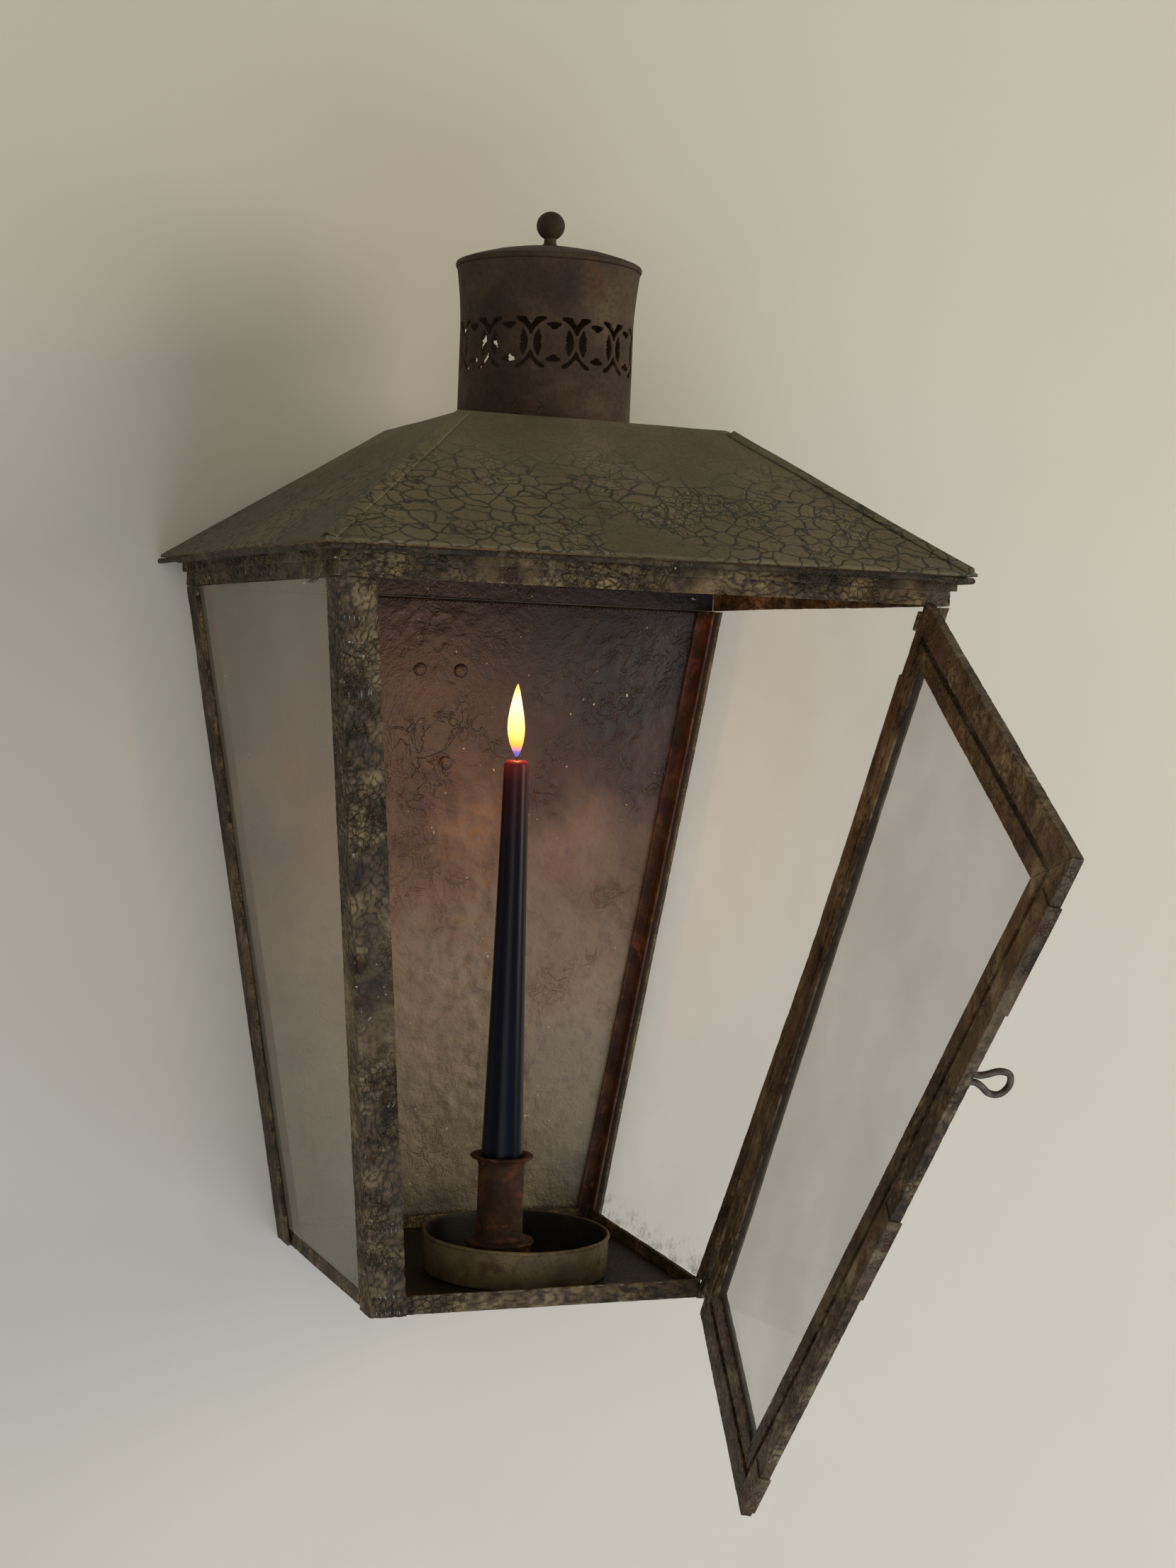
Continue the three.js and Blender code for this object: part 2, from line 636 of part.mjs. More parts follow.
// A ring or rod about the hinge line, between two distances along it.
function aboutHinge(from, to, radius, bore) {
  const [side, front] = [new THREE.Vector3(), new THREE.Vector3()]
  side.crossVectors(hingeAxis, outward).normalize()
  front.crossVectors(side, hingeAxis)
  const basis = new THREE.Matrix4().makeBasis(front, side, hingeAxis)
  basis.setPosition(hingeFoot)
  const closed = bore > 0
  const profile = closed
    ? [[bore, from], [radius, from], [radius, to], [bore, to]]
    : [[0, from], [radius, from], [radius, to], [0, to]]
  return turned(profile, 16, [0, 0], closed).applyMatrix4(basis)
}
const knuckleFrom = 0.1 * hingeLength
const knuckleTo = 0.9 * hingeLength
const knuckle = aboutHinge(knuckleFrom, knuckleTo, knuckleRadius, wireRadius + gap)
addMesh('door_knuckle', knuckle, 'doorPaint', swing)
addMesh('hinge_wire', aboutHinge(6, hingeLength - 4, wireRadius, 0), 'wire')
addMesh('hinge_eye_bottom', aboutHinge(7, 16, eyeRadius, wireRadius + 0.2), 'bodyPaint')
const eyeTop = aboutHinge(hingeLength - 16, hingeLength - 7, eyeRadius, wireRadius + 0.2)
addMesh('hinge_eye_top', eyeTop, 'bodyPaint')

// Patches lapped round the latch stile, and the wire loop on its front that pulls the door open.
const latchFoot = new THREE.Vector3(...doorQuad[0])
const latchHead = new THREE.Vector3(...doorQuad[3])
const latchAlong = latchHead.clone().sub(latchFoot).normalize()
const latchLength = latchHead.distanceTo(latchFoot)
const latchOut = new THREE.Vector3().crossVectors(latchAlong, outward).normalize()
if (latchOut.x > 0) latchOut.negate()

function onLatch(up, out, depth) {
  return latchFoot.clone().addScaledVector(latchAlong, up).addScaledVector(latchOut, out)
    .addScaledVector(inward, depth)
}
const patchSpots = [[0.8, 0.94], [0.38, 0.5], [0.01, 0.07]]
patchSpots.forEach(([from, to], i) => {
  const ring = (share) => [
    [0.3, -0.4], [1.1, -0.4], [1.1, doorThick + 0.65], [-11, doorThick + 0.65],
    [-11, doorThick + 0.15], [0.3, doorThick + 0.15],
  ].map(([out, depth]) => onLatch(share * latchLength, out, depth).toArray())
  addMesh(`latch_patch_${i + 1}`, loft([ring(from), ring(to)]), 'doorPaint', swing)
})

const loopUp = 0.7 * latchLength
const loopInset = 6
const loopPath = [
  [0.3, -2.6], [4, -1.9], [7.5, -3.4], [11.5, -6], [16, -5.6], [18.2, 0], [16, 5.6], [11.5, 6],
  [7.5, 3.4], [4, 1.9], [0.3, 2.6],
].map(([out, up]) => onLatch(loopUp + up, -loopInset, -out))
const loopCurve = new THREE.CatmullRomCurve3(loopPath)
const loopSection = new THREE.Shape()
loopSection.absarc(0, 0, 1.5, 0, 2 * Math.PI, false)
const loopGeometry = new THREE.ExtrudeGeometry(loopSection, {
  steps: 40, curveSegments: 5, bevelEnabled: false, extrudePath: loopCurve,
})
addMesh('latch_loop', loopGeometry, 'wire', swing)

// ---- candle and holder --------------------------------------------------------------------------

const panFoot = floorTop + gap
const panProfile = [
  [0, panFoot], [panRadius - 1.2, panFoot], [panRadius, panFoot + 1], [panRadius, panFoot + panHeight - 1.6],
  [panRadius + 0.9, panFoot + panHeight - 0.8], [panRadius, panFoot + panHeight],
  [panRadius - 1.2, panFoot + panHeight - 0.8], [panRadius - 1.2, panFoot + 1.2], [0, panFoot + 1.2],
]
addMesh('candle_pan', turned(panProfile, 56, [holderX, holderY]), 'panTin')

const footZ = panFoot + 1.2 + gap
const footTop = footZ + 13
const bore = candleDiameter / 2 + socketFit
const flareRadius = bore + socketFlare
const footProfile = [
  [0, footZ], [flareRadius, footZ], [flareRadius + 0.4, footTop - 3], [flareRadius + 1.6, footTop - 1.2],
  [flareRadius + 1.2, footTop], [0, footTop],
]
addMesh('socket_foot', turned(footProfile, 40, [socketX, socketY]), 'rustyTin')

const socketZ = footTop + gap
const lipZ = floorTop + socketHeight
const socketRadius = bore + socketWall
const seatZ = lipZ - candleSeat
const socketProfile = [
  [0, socketZ], [socketRadius + 1.1, socketZ], [socketRadius + 0.6, socketZ + 1.6],
  [socketRadius, socketZ + 3], [socketRadius, lipZ - 5], [socketRadius + 1.3, lipZ - 2.6],
  [flareRadius - 0.4, lipZ - 1.2],
  [flareRadius, lipZ - 0.5], [flareRadius - 0.4, lipZ], [bore + 0.6, lipZ - 0.6], [bore, lipZ - 1.6],
  [bore, seatZ], [0, seatZ],
]
addMesh('candle_socket', turned(socketProfile, 40, [socketX, socketY]), 'rustyTin')

const candleFoot = seatZ + 0.05
const candleProfile = [
  [0, candleFoot], [candleDiameter / 2, candleFoot], [candleDiameter / 2, lipZ],
  [candleTipDiameter / 2 + 0.4, candleTopZ - 9], [candleTipDiameter / 2, candleTopZ - 2.2],
  [candleTipDiameter / 2 - 1.4, candleTopZ - 0.4], [2.4, candleTopZ - 1.6], [0, candleTopZ - 1.8],
]
addMesh('candle', turned(candleProfile, 40, [socketX, socketY]), 'wax')

const wickProfile = [
  [0, candleTopZ - 1.5], [0.75, candleTopZ - 1.5], [0.75, candleTopZ + 6], [0.4, candleTopZ + 7],
  [0, candleTopZ + 7],
]
addMesh('wick', turned(wickProfile, 10, [socketX, socketY]), 'cotton')

// The origin is on the hanger's rear face, where the wall carries the lantern.
for (const mesh of group.children) mesh.geometry.translate(0, 0, -hangerZ)

export default group
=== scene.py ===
import math

import bmesh
import bpy
from mathutils import Matrix, Vector, noise


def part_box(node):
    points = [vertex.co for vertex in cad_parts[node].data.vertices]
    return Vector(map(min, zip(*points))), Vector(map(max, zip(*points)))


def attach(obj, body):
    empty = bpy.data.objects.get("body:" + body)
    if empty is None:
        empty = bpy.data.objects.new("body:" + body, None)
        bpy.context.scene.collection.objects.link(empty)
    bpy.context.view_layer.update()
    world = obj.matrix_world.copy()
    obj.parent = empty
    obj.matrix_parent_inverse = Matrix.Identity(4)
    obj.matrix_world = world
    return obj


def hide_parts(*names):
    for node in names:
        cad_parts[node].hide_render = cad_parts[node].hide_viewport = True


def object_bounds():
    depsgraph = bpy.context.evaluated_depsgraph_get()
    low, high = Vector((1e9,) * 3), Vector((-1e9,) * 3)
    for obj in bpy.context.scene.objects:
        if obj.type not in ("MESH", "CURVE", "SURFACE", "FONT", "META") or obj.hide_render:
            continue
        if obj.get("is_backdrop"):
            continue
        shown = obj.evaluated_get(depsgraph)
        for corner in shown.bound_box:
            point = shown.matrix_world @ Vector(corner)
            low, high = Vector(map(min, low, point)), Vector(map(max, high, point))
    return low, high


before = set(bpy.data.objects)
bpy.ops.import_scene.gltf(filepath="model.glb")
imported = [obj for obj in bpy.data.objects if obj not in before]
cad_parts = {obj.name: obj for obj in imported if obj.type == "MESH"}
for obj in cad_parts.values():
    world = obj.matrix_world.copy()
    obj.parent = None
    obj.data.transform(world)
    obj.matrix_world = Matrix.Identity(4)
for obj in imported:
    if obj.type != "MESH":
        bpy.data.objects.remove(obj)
cadLow, cadHigh = (Vector(corner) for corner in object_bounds())
print("frame loaded")

noise.seed_set(7)  # noise_vector would start from the clock
mm = 0.001
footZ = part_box("front_left_post")[0][2]  # the underside of the lantern's base


def boxOf(node):
    return [Vector(corner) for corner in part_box(node)]


def middleOf(low, high):
    return ((low.x + high.x) / 2, (low.y + high.y) / 2)


def toLinear(hexText):
    parts = [int(hexText[i:i + 2], 16) / 255 for i in (0, 2, 4)]
    return [c / 12.92 if c <= 0.04045 else ((c + 0.055) / 1.055) ** 2.4 for c in parts] + [1.0]


def addNode(tree, kind, inputs=None, **settings):
    node = tree.nodes.new(kind)
    for key, value in settings.items():
        setattr(node, key, value)
    for key, value in (inputs or {}).items():
        socket = node.inputs[key]
        if isinstance(value, bpy.types.NodeSocket):
            tree.links.new(value, socket)
        else:
            socket.default_value = value
    return node


def addRamp(tree, factor, stops):
    ramp = addNode(tree, "ShaderNodeValToRGB", {"Fac": factor})
    elements = ramp.color_ramp.elements
    while len(elements) < len(stops):
        elements.new(0.5)
    for element, (place, hexText) in zip(elements, stops):
        element.position = place
        element.color = toLinear(hexText)
    return ramp.outputs["Color"]


def addMask(tree, factor, low, high, top=1.0):
    mask = addNode(tree, "ShaderNodeMapRange", {
        "Value": factor, "From Min": low, "From Max": high, "To Min": 0.0, "To Max": top}, clamp=True)
    return mask.outputs["Result"]


def addMath(tree, operation, first, second=0.0):
    return addNode(tree, "ShaderNodeMath", {0: first, 1: second}, operation=operation).outputs[0]


def mixColours(tree, factor, under, over, blend="MIX"):
    mix = addNode(tree, "ShaderNodeMix", data_type="RGBA", blend_type=blend)
    for socket, value in ((mix.inputs[0], factor), (mix.inputs[6], under), (mix.inputs[7], over)):
        if isinstance(value, bpy.types.NodeSocket):
            tree.links.new(value, socket)
        else:
            socket.default_value = toLinear(value) if isinstance(value, str) else value
    return mix.outputs[2]


def startMaterial(name):
    material = bpy.data.materials.new(name)
    material.use_nodes = True
    tree = material.node_tree
    shader = tree.nodes["Principled BSDF"]
    return material, tree, shader


def speckle(tree, coords, size, detail=4.0, roughness=0.55, distortion=0.0):
    cloud = addNode(tree, "ShaderNodeTexNoise", {
        "Vector": coords, "Scale": 1 / (size * mm), "Detail": detail, "Roughness": roughness,
        "Distortion": distortion})
    return cloud.outputs["Fac"]


def crackle(tree, coords, cell, width):
    cells = addNode(tree, "ShaderNodeTexVoronoi", {
        "Vector": coords, "Scale": 1 / (cell * mm)}, feature="DISTANCE_TO_EDGE")
    return addMask(tree, cells.outputs["Distance"], width, 0.0)


def wander(tree, coords, size, reach):
    drift = addNode(tree, "ShaderNodeTexNoise", {
        "Vector": coords, "Scale": 1 / (size * mm), "Detail": 2.0})
    centred = addNode(tree, "ShaderNodeVectorMath", {
        0: drift.outputs["Color"], 1: (0.5, 0.5, 0.5)}, operation="SUBTRACT")
    scaled = addNode(tree, "ShaderNodeVectorMath", {
        0: centred.outputs[0], 1: (reach * mm,) * 3}, operation="MULTIPLY")
    return addNode(tree, "ShaderNodeVectorMath", {
        0: coords, 1: scaled.outputs[0]}, operation="ADD").outputs[0]


paintHabits = {  # how wide each soft border is, and how strongly the modelled marks show
    "rustFade": 0.07, "crackFade": 0.12, "chipFade": 0.02, "patchFade": 0.03, "grimeSize": 2.2,
    "fineCell": 0.38, "fineWidth": 1.25, "modelled": 0.9, "edgeWearAndHighlight": 0.6, "sheen": 0.28}


def makeOldPaint(name, look):
    # Brushed oil paint on tinplate, a century old: crazed, worn and flecked, with convex edges lightened
    # partly as worn paint and partly as painted highlight, matt with a waxy sheen.
    material, tree, shader = startMaterial(name)
    coords = addNode(tree, "ShaderNodeTexCoord").outputs["Object"]
    warped = wander(tree, coords, 9, look["wander"])
    if "stretch" in look:  # crazing drawn out sideways
        warped = addNode(tree, "ShaderNodeMapping", {0: warped, "Scale": look["stretch"]}).outputs[0]
    broad = speckle(tree, coords, look["cloud"], 5)
    colour = addRamp(tree, broad, look["tones"])
    fine = speckle(tree, coords, paintHabits["grimeSize"], 6, 0.7)
    colour = mixColours(tree, addMask(tree, fine, 0.48, 0.72, look["grime"]), colour, look["grimeTone"])
    patches = speckle(tree, coords, look["rustSize"], 7, 0.62)
    rust = addMask(tree, patches, look["rustFrom"], look["rustFrom"] + paintHabits["rustFade"])
    colour = mixColours(tree, rust, colour, look["rustTone"])
    large = crackle(tree, warped, look["cell"], look["crack"])
    fineCell, fineWidth = look["cell"] * paintHabits["fineCell"], look["crack"] * paintHabits["fineWidth"]
    small = crackle(tree, warped, fineCell, fineWidth)
    spread = speckle(tree, coords, look["crackPatch"], 3)
    where = addMask(tree, spread, look["crackFrom"], look["crackFrom"] + paintHabits["crackFade"])
    finer = addMask(tree, speckle(tree, coords, look["crackPatch"] * 0.5, 3), 0.47, 0.6)
    lines = addMath(tree, "MAXIMUM", large, addMath(tree, "MULTIPLY", small, finer))
    lines = addMath(tree, "MULTIPLY", lines, where)
    if "crackHigh" in look:  # cracks fade towards the upper edge
        height = addNode(tree, "ShaderNodeSeparateXYZ", {0: coords}).outputs["Z"]
        fade = addMask(tree, height, look["crackHigh"][1], look["crackHigh"][0])
        lines = addMath(tree, "MULTIPLY", lines, fade)
    colour = mixColours(tree, addMath(tree, "MULTIPLY", lines, look["crackShow"]), colour, look["crackTone"])
    flecks = speckle(tree, coords, look["fleckSize"], 3, 0.55)
    chips = addMask(tree, flecks, look["fleckFrom"], look["fleckFrom"] + paintHabits["chipFade"])
    if "fleckPatch" in look:  # lost paint shows white only in places
        region = speckle(tree, coords, 32, 2)
        region = addMask(tree, region, look["fleckPatch"], look["fleckPatch"] + paintHabits["patchFade"])
        chips = addMath(tree, "MULTIPLY", chips, region)
    modelled = addNode(tree, "ShaderNodeAttribute", attribute_name="crackDepth").outputs["Fac"]
    modelled = addMath(tree, "MULTIPLY", modelled, paintHabits["modelled"])
    colour = mixColours(tree, modelled, colour, look["crackTone"])
    # Convex edges lighten towards the fleck colour: paint worn off the edges plus a painted highlight where
    # the edges catch the light.
    edgeWearAndHighlight = addNode(tree, "ShaderNodeAttribute", attribute_name="edgeWearAndHighlightMask").outputs["Fac"]
    uneven = addMask(tree, speckle(tree, coords, 9, 5), 0.42, 0.6)
    edgeWearAndHighlight = addMath(tree, "MULTIPLY", addMask(tree, edgeWearAndHighlight, 0.35, 0.9), uneven)
    edgeWearAndHighlight = addMath(tree, "MULTIPLY", edgeWearAndHighlight, paintHabits["edgeWearAndHighlight"])
    colour = mixColours(tree, edgeWearAndHighlight, colour, look["fleckAndHighlightTone"])
    colour = mixColours(tree, chips, colour, look["fleckAndHighlightTone"])
    tree.links.new(colour, shader.inputs["Base Color"])
    rough = addMask(tree, fine, 0.3, 0.75)
    rough = addNode(tree, "ShaderNodeMapRange", {
        "Value": rough, "To Min": look["rough"][0], "To Max": look["rough"][1]}).outputs[0]
    tree.links.new(rough, shader.inputs["Roughness"])
    shader.inputs["Specular IOR Level"].default_value = paintHabits["sheen"]
    height = addMath(tree, "SUBTRACT", addMath(tree, "MULTIPLY", fine, 0.5), lines)
    height = addMath(tree, "ADD", height, addMath(tree, "MULTIPLY", chips, 0.8))
    bump = addNode(tree, "ShaderNodeBump", {
        "Height": height, "Strength": look["bump"], "Distance": 0.5 * mm})
    tree.links.new(bump.outputs["Normal"], shader.inputs["Normal"])
    return material


roofLook = {
    "cloud": 55, "tones": [(0.3, "514a36"), (0.5, "625a42"), (0.68, "736a4e")], "grime": 0.45,
    "grimeTone": "37332a", "rustSize": 26, "rustFrom": 0.64, "rustTone": "4d3d2d", "wander": 6.5,
    "cell": 8.5, "crack": 0.08, "crackPatch": 55, "crackFrom": 0.36, "crackShow": 0.92,
    "crackTone": "141d1d", "fleckSize": 2.4, "fleckFrom": 0.8, "fleckAndHighlightTone": "8f8f7a",
    "rough": (0.55, 0.82), "bump": 0.7, "crackHigh": (0.105, 0.135), "stretch": (0.72, 1, 1.15)}
edgeLook = {
    "cloud": 16, "tones": [(0.3, "1e1912"), (0.5, "392f21"), (0.72, "5a503a")], "grime": 0.8,
    "grimeTone": "1d1a14", "rustSize": 9, "rustFrom": 0.56, "rustTone": "4a3424", "wander": 2,
    "cell": 5, "crack": 0.1, "crackPatch": 30, "crackFrom": 0.4, "crackShow": 0.9,
    "crackTone": "12100c", "fleckSize": 2.4, "fleckFrom": 0.74, "fleckAndHighlightTone": "8c8a76",
    "rough": (0.55, 0.85), "bump": 0.9}
bodyLook = {
    "cloud": 20, "tones": [(0.3, "32281a"), (0.5, "5a4a30"), (0.68, "85744f")], "grime": 0.8,
    "grimeTone": "1f1a13", "rustSize": 13, "rustFrom": 0.57, "rustTone": "4c3623", "wander": 2.2,
    "cell": 3.4, "crack": 0.12, "crackPatch": 26, "crackFrom": 0.42, "crackShow": 0.75,
    "crackTone": "13100b", "fleckSize": 2.6, "fleckFrom": 0.7, "fleckAndHighlightTone": "b4b6a6",
    "fleckPatch": 0.52, "rough": (0.45, 0.82), "bump": 0.9}
doorLook = {
    "cloud": 18, "tones": [(0.3, "2f2417"), (0.52, "5a4a33"), (0.72, "8a7c5c")], "grime": 0.7,
    "grimeTone": "1b140d", "rustSize": 11, "rustFrom": 0.56, "rustTone": "523522", "wander": 2,
    "cell": 4, "crack": 0.09, "crackPatch": 24, "crackFrom": 0.48, "crackShow": 0.7,
    "crackTone": "140f09", "fleckSize": 1.8, "fleckFrom": 0.79, "fleckAndHighlightTone": "85805f",
    "rough": (0.45, 0.82), "bump": 0.9}
chimneyLook = {
    "cloud": 34, "tones": [(0.3, "261a11"), (0.5, "3b2c1f"), (0.7, "524431")], "grime": 0.5,
    "grimeTone": "221a13", "rustSize": 20, "rustFrom": 0.6, "rustTone": "46301f", "wander": 3,
    "cell": 9, "crack": 0.03, "crackPatch": 40, "crackFrom": 0.62, "crackShow": 0.5,
    "crackTone": "15110c", "fleckSize": 2, "fleckFrom": 0.8, "fleckAndHighlightTone": "6f6654",
    "rough": (0.6, 0.88), "bump": 0.5}
panLook = {
    "cloud": 26, "tones": [(0.3, "3c3222"), (0.5, "564a32"), (0.7, "726442")], "grime": 0.55,
    "grimeTone": "2e271c", "rustSize": 14, "rustFrom": 0.56, "rustTone": "46341f", "wander": 2,
    "cell": 6, "crack": 0.04, "crackPatch": 30, "crackFrom": 0.6, "crackShow": 0.4,
    "crackTone": "1e1811", "fleckSize": 2, "fleckFrom": 0.8, "fleckAndHighlightTone": "8a8163",
    "rough": (0.45, 0.8), "bump": 0.5}
# Near-black floor tones: soot on the tin, darkened further as painted shade for the lantern's shaded inside.
floorSootAndShadeLook = {
    "cloud": 24, "tones": [(0.3, "0b0703"), (0.5, "150e07"), (0.7, "261a0d")], "grime": 0.5,
    "grimeTone": "0f0b07", "rustSize": 14, "rustFrom": 0.58, "rustTone": "3a2413", "wander": 2,
    "cell": 6, "crack": 0.04, "crackPatch": 30, "crackFrom": 0.6, "crackShow": 0.4,
    "crackTone": "0c0906", "fleckSize": 2, "fleckFrom": 0.8, "fleckAndHighlightTone": "554a36",
    "rough": (0.5, 0.85), "bump": 0.6}
ironLook = {
    "cloud": 16, "tones": [(0.3, "23150c"), (0.5, "3e2717"), (0.72, "5c3d27")], "grime": 0.6,
    "grimeTone": "20150d", "rustSize": 9, "rustFrom": 0.57, "rustTone": "6a3d20", "wander": 1.5,
    "cell": 4, "crack": 0.05, "crackPatch": 20, "crackFrom": 0.6, "crackShow": 0.4,
    "crackTone": "150e08", "fleckSize": 1.8, "fleckFrom": 0.8, "fleckAndHighlightTone": "8a6f54",
    "rough": (0.55, 0.85), "bump": 0.7}

roofPaint = makeOldPaint("khakiOilPaintOnTin", roofLook)
edgePaint = makeOldPaint("grimedRoofEdgePaint", edgeLook)
bodyPaint = makeOldPaint("alligatoredBrownPaint", bodyLook)
doorPaint = makeOldPaint("wornBrownPaintOnTin", doorLook)
chimneyPaint = makeOldPaint("sootedBrownPaint", chimneyLook)
panPaint = makeOldPaint("khakiPaintedPanTin", panLook)
floorTinSootAndShade = makeOldPaint("sootyFloorTinWithPaintedShade", floorSootAndShadeLook)
rustedIron = makeOldPaint("rustedSheetIron", ironLook)


backLook = {  # colours from foot to eave, darker at the very foot and towards the eave, with a warmer stop at 0.56 that is painted candle glow; and the marks over them
    "tones": [(0.0, "4a4332"), (0.1, "7a7159"), (0.32, "857860"), (0.56, "6c5440"), (0.72, "3a251c"),
              (0.86, "140b08")],
    "mottle": "33271f", "stain": "4d4536", "wrinkle": "2b211c", "chip": "b7ab92", "tall": 0.36}


def makeBackPaint():
    # Oil paint on sheet iron: dark towards the eave, beige below, with a warmer band at mid height painted as
    # the candle's glow.
    material, tree, shader = startMaterial("darkTopPanelPaintWithPaintedGlow")
    coords = addNode(tree, "ShaderNodeTexCoord").outputs["Object"]
    height = addNode(tree, "ShaderNodeSeparateXYZ", {0: coords}).outputs["Z"]
    cloud = speckle(tree, coords, 60, 5)
    drift = addMath(tree, "MULTIPLY", addMath(tree, "SUBTRACT", cloud, 0.5), 0.22)
    level = addMask(tree, addMath(tree, "ADD", height, drift), footZ, footZ + backLook["tall"])
    colour = addRamp(tree, level, backLook["tones"])
    mottle = speckle(tree, coords, 7, 8, 0.65)
    colour = mixColours(tree, addMask(tree, mottle, 0.48, 0.75, 0.45), colour, backLook["mottle"])
    broadStain = speckle(tree, coords, 34, 4, 0.6)
    colour = mixColours(tree, addMask(tree, broadStain, 0.5, 0.7, 0.2), colour, backLook["stain"])
    wrinkle = addMath(tree, "SUBTRACT", speckle(tree, coords, 11, 3, 0.6, 0.8), 0.5)
    wrinkle = addMath(tree, "ABSOLUTE", wrinkle)
    patch = addMask(tree, speckle(tree, coords, 60, 3), 0.48, 0.58)
    lines = addMath(tree, "MULTIPLY", addMask(tree, wrinkle, 0.035, 0.0), patch)
    colour = mixColours(tree, addMath(tree, "MULTIPLY", lines, 0.2), colour, backLook["wrinkle"])
    chips = addMask(tree, speckle(tree, coords, 3, 3, 0.5), 0.73, 0.75)
    colour = mixColours(tree, chips, colour, backLook["chip"])
    tree.links.new(colour, shader.inputs["Base Color"])
    shader.inputs["Roughness"].default_value = 0.5
    shader.inputs["Specular IOR Level"].default_value = 0.5
    leather = speckle(tree, coords, 2.6, 3, 0.6)
    relief = addMath(tree, "ADD", mottle, addMath(tree, "MULTIPLY", leather, 0.8))
    relief = addMath(tree, "SUBTRACT", relief, addMath(tree, "MULTIPLY", lines, 0.35))
    bump = addNode(tree, "ShaderNodeBump", {"Height": relief, "Strength": 0.8, "Distance": 1.1 * mm})
    tree.links.new(bump.outputs["Normal"], shader.inputs["Normal"])
    return material


backPaint = makeBackPaint()


def makeOldGlass(name, filmAndReflection, tone, low, high):
    # Drawn window glass: clear, faintly grey, with a pale film and dirt left along the foot; the film's amount
    # and tone are set pane by pane, so it is partly a real film and partly painted reflection of the room.
    material, tree, shader = startMaterial(name)
    coords = addNode(tree, "ShaderNodeTexCoord").outputs["Object"]
    dust = speckle(tree, coords, 60, 3, 0.5)
    filmAndReflectionCover = addNode(tree, "ShaderNodeMapRange", {
        "Value": dust, "From Min": 0.3, "From Max": 0.7,
        "To Min": filmAndReflection * 0.85, "To Max": filmAndReflection * 1.15}).outputs[0]
    height = addNode(tree, "ShaderNodeSeparateXYZ", {0: coords}).outputs["Z"]
    foot = addMask(tree, height, high, low)
    dirt = addMask(tree, addMath(tree, "MULTIPLY", speckle(tree, coords, 7, 7, 0.7), foot), 0.36, 0.6, 0.55)
    tree.links.new(addMath(tree, "MAXIMUM", filmAndReflectionCover, dirt), shader.inputs["Alpha"])
    tree.links.new(mixColours(tree, dirt, tone, "4a4335"), shader.inputs["Base Color"])
    shader.inputs["Roughness"].default_value = 0.05
    shader.inputs["IOR"].default_value = 1.5
    return material


# The heavier pale film on the left pane and the greyer one on the door pane are partly painted reflection, not
# only film.
sideGlass = makeOldGlass("oldWindowGlassSide", 0.1, "b3b8b2", footZ, footZ + 0.08)
leftGlass = makeOldGlass("oldWindowGlassHazedAndReflecting", 0.33, "b0aa9a", footZ, footZ + 0.03)
doorGlass = makeOldGlass("oldWindowGlassDoor", 0.26, "84847f", footZ - 0.05, footZ)


def makeWire():
    # Drawn iron wire, browned by weather, with a dull metal sheen on the rubbed tops.
    material, tree, shader = startMaterial("brownedIronWire")
    coords = addNode(tree, "ShaderNodeTexCoord").outputs["Object"]
    grain = speckle(tree, coords, 3, 6)
    colour = addRamp(tree, grain, [(0.3, "332d26"), (0.6, "5a5145"), (0.8, "6e5a45")])
    tree.links.new(colour, shader.inputs["Base Color"])
    shader.inputs["Metallic"].default_value = 0.6
    shader.inputs["Roughness"].default_value = 0.5
    bump = addNode(tree, "ShaderNodeBump", {"Height": grain, "Strength": 0.3, "Distance": 0.2 * mm})
    tree.links.new(bump.outputs["Normal"], shader.inputs["Normal"])
    return material


def makeWax(top):
    # Dipped taper wax: deep navy with a soft gloss, wine-red and glowing where the flame shines in.
    material, tree, shader = startMaterial("navyTaperWax")
    coords = addNode(tree, "ShaderNodeTexCoord").outputs["Object"]
    height = addNode(tree, "ShaderNodeSeparateXYZ", {0: coords}).outputs["Z"]
    colour = addRamp(tree, addMask(tree, height, top - 0.2, top), [
        (0.0, "03061a"), (0.5, "050718"), (0.78, "100816"), (1.0, "3c141b")])
    tree.links.new(colour, shader.inputs["Base Color"])
    shader.inputs["Roughness"].default_value = 0.3
    shader.inputs["Specular IOR Level"].default_value = 0.2
    glow = addRamp(tree, addMask(tree, height, top - 0.022, top), [
        (0.0, "000000"), (0.5, "2a0508"), (1.0, "a02c1a")])
    tree.links.new(glow, shader.inputs["Emission Color"])
    shader.inputs["Emission Strength"].default_value = 0.22
    return material


def makeWick():
    # Braided cotton, charred black.
    material, tree, shader = startMaterial("charredCotton")
    coords = addNode(tree, "ShaderNodeTexCoord").outputs["Object"]
    grain = speckle(tree, coords, 0.6, 4)
    tree.links.new(addRamp(tree, grain, [(0.3, "0f0c0a"), (0.7, "2c241d")]), shader.inputs["Base Color"])
    shader.inputs["Roughness"].default_value = 0.9
    return material


def makeFlame(low, high):
    # Burning wax vapour: blue at the root, orange skirt, pale yellow heart.
    material, tree, shader = startMaterial("candleFlame")
    coords = addNode(tree, "ShaderNodeTexCoord").outputs["Object"]
    height = addNode(tree, "ShaderNodeSeparateXYZ", {0: coords}).outputs["Z"]
    rise = addMask(tree, height, low, high)
    colour = addRamp(tree, rise, [
        (0.0, "2a3a9c"), (0.08, "5a4a8c"), (0.17, "ff8a2a"), (0.5, "ffd27a"),
        (0.75, "ffe6a0"), (1.0, "ff9a35")])
    tree.links.new(colour, shader.inputs["Emission Color"])
    shader.inputs["Base Color"].default_value = toLinear("000000")
    shader.inputs["Emission Strength"].default_value = 2.6
    return material


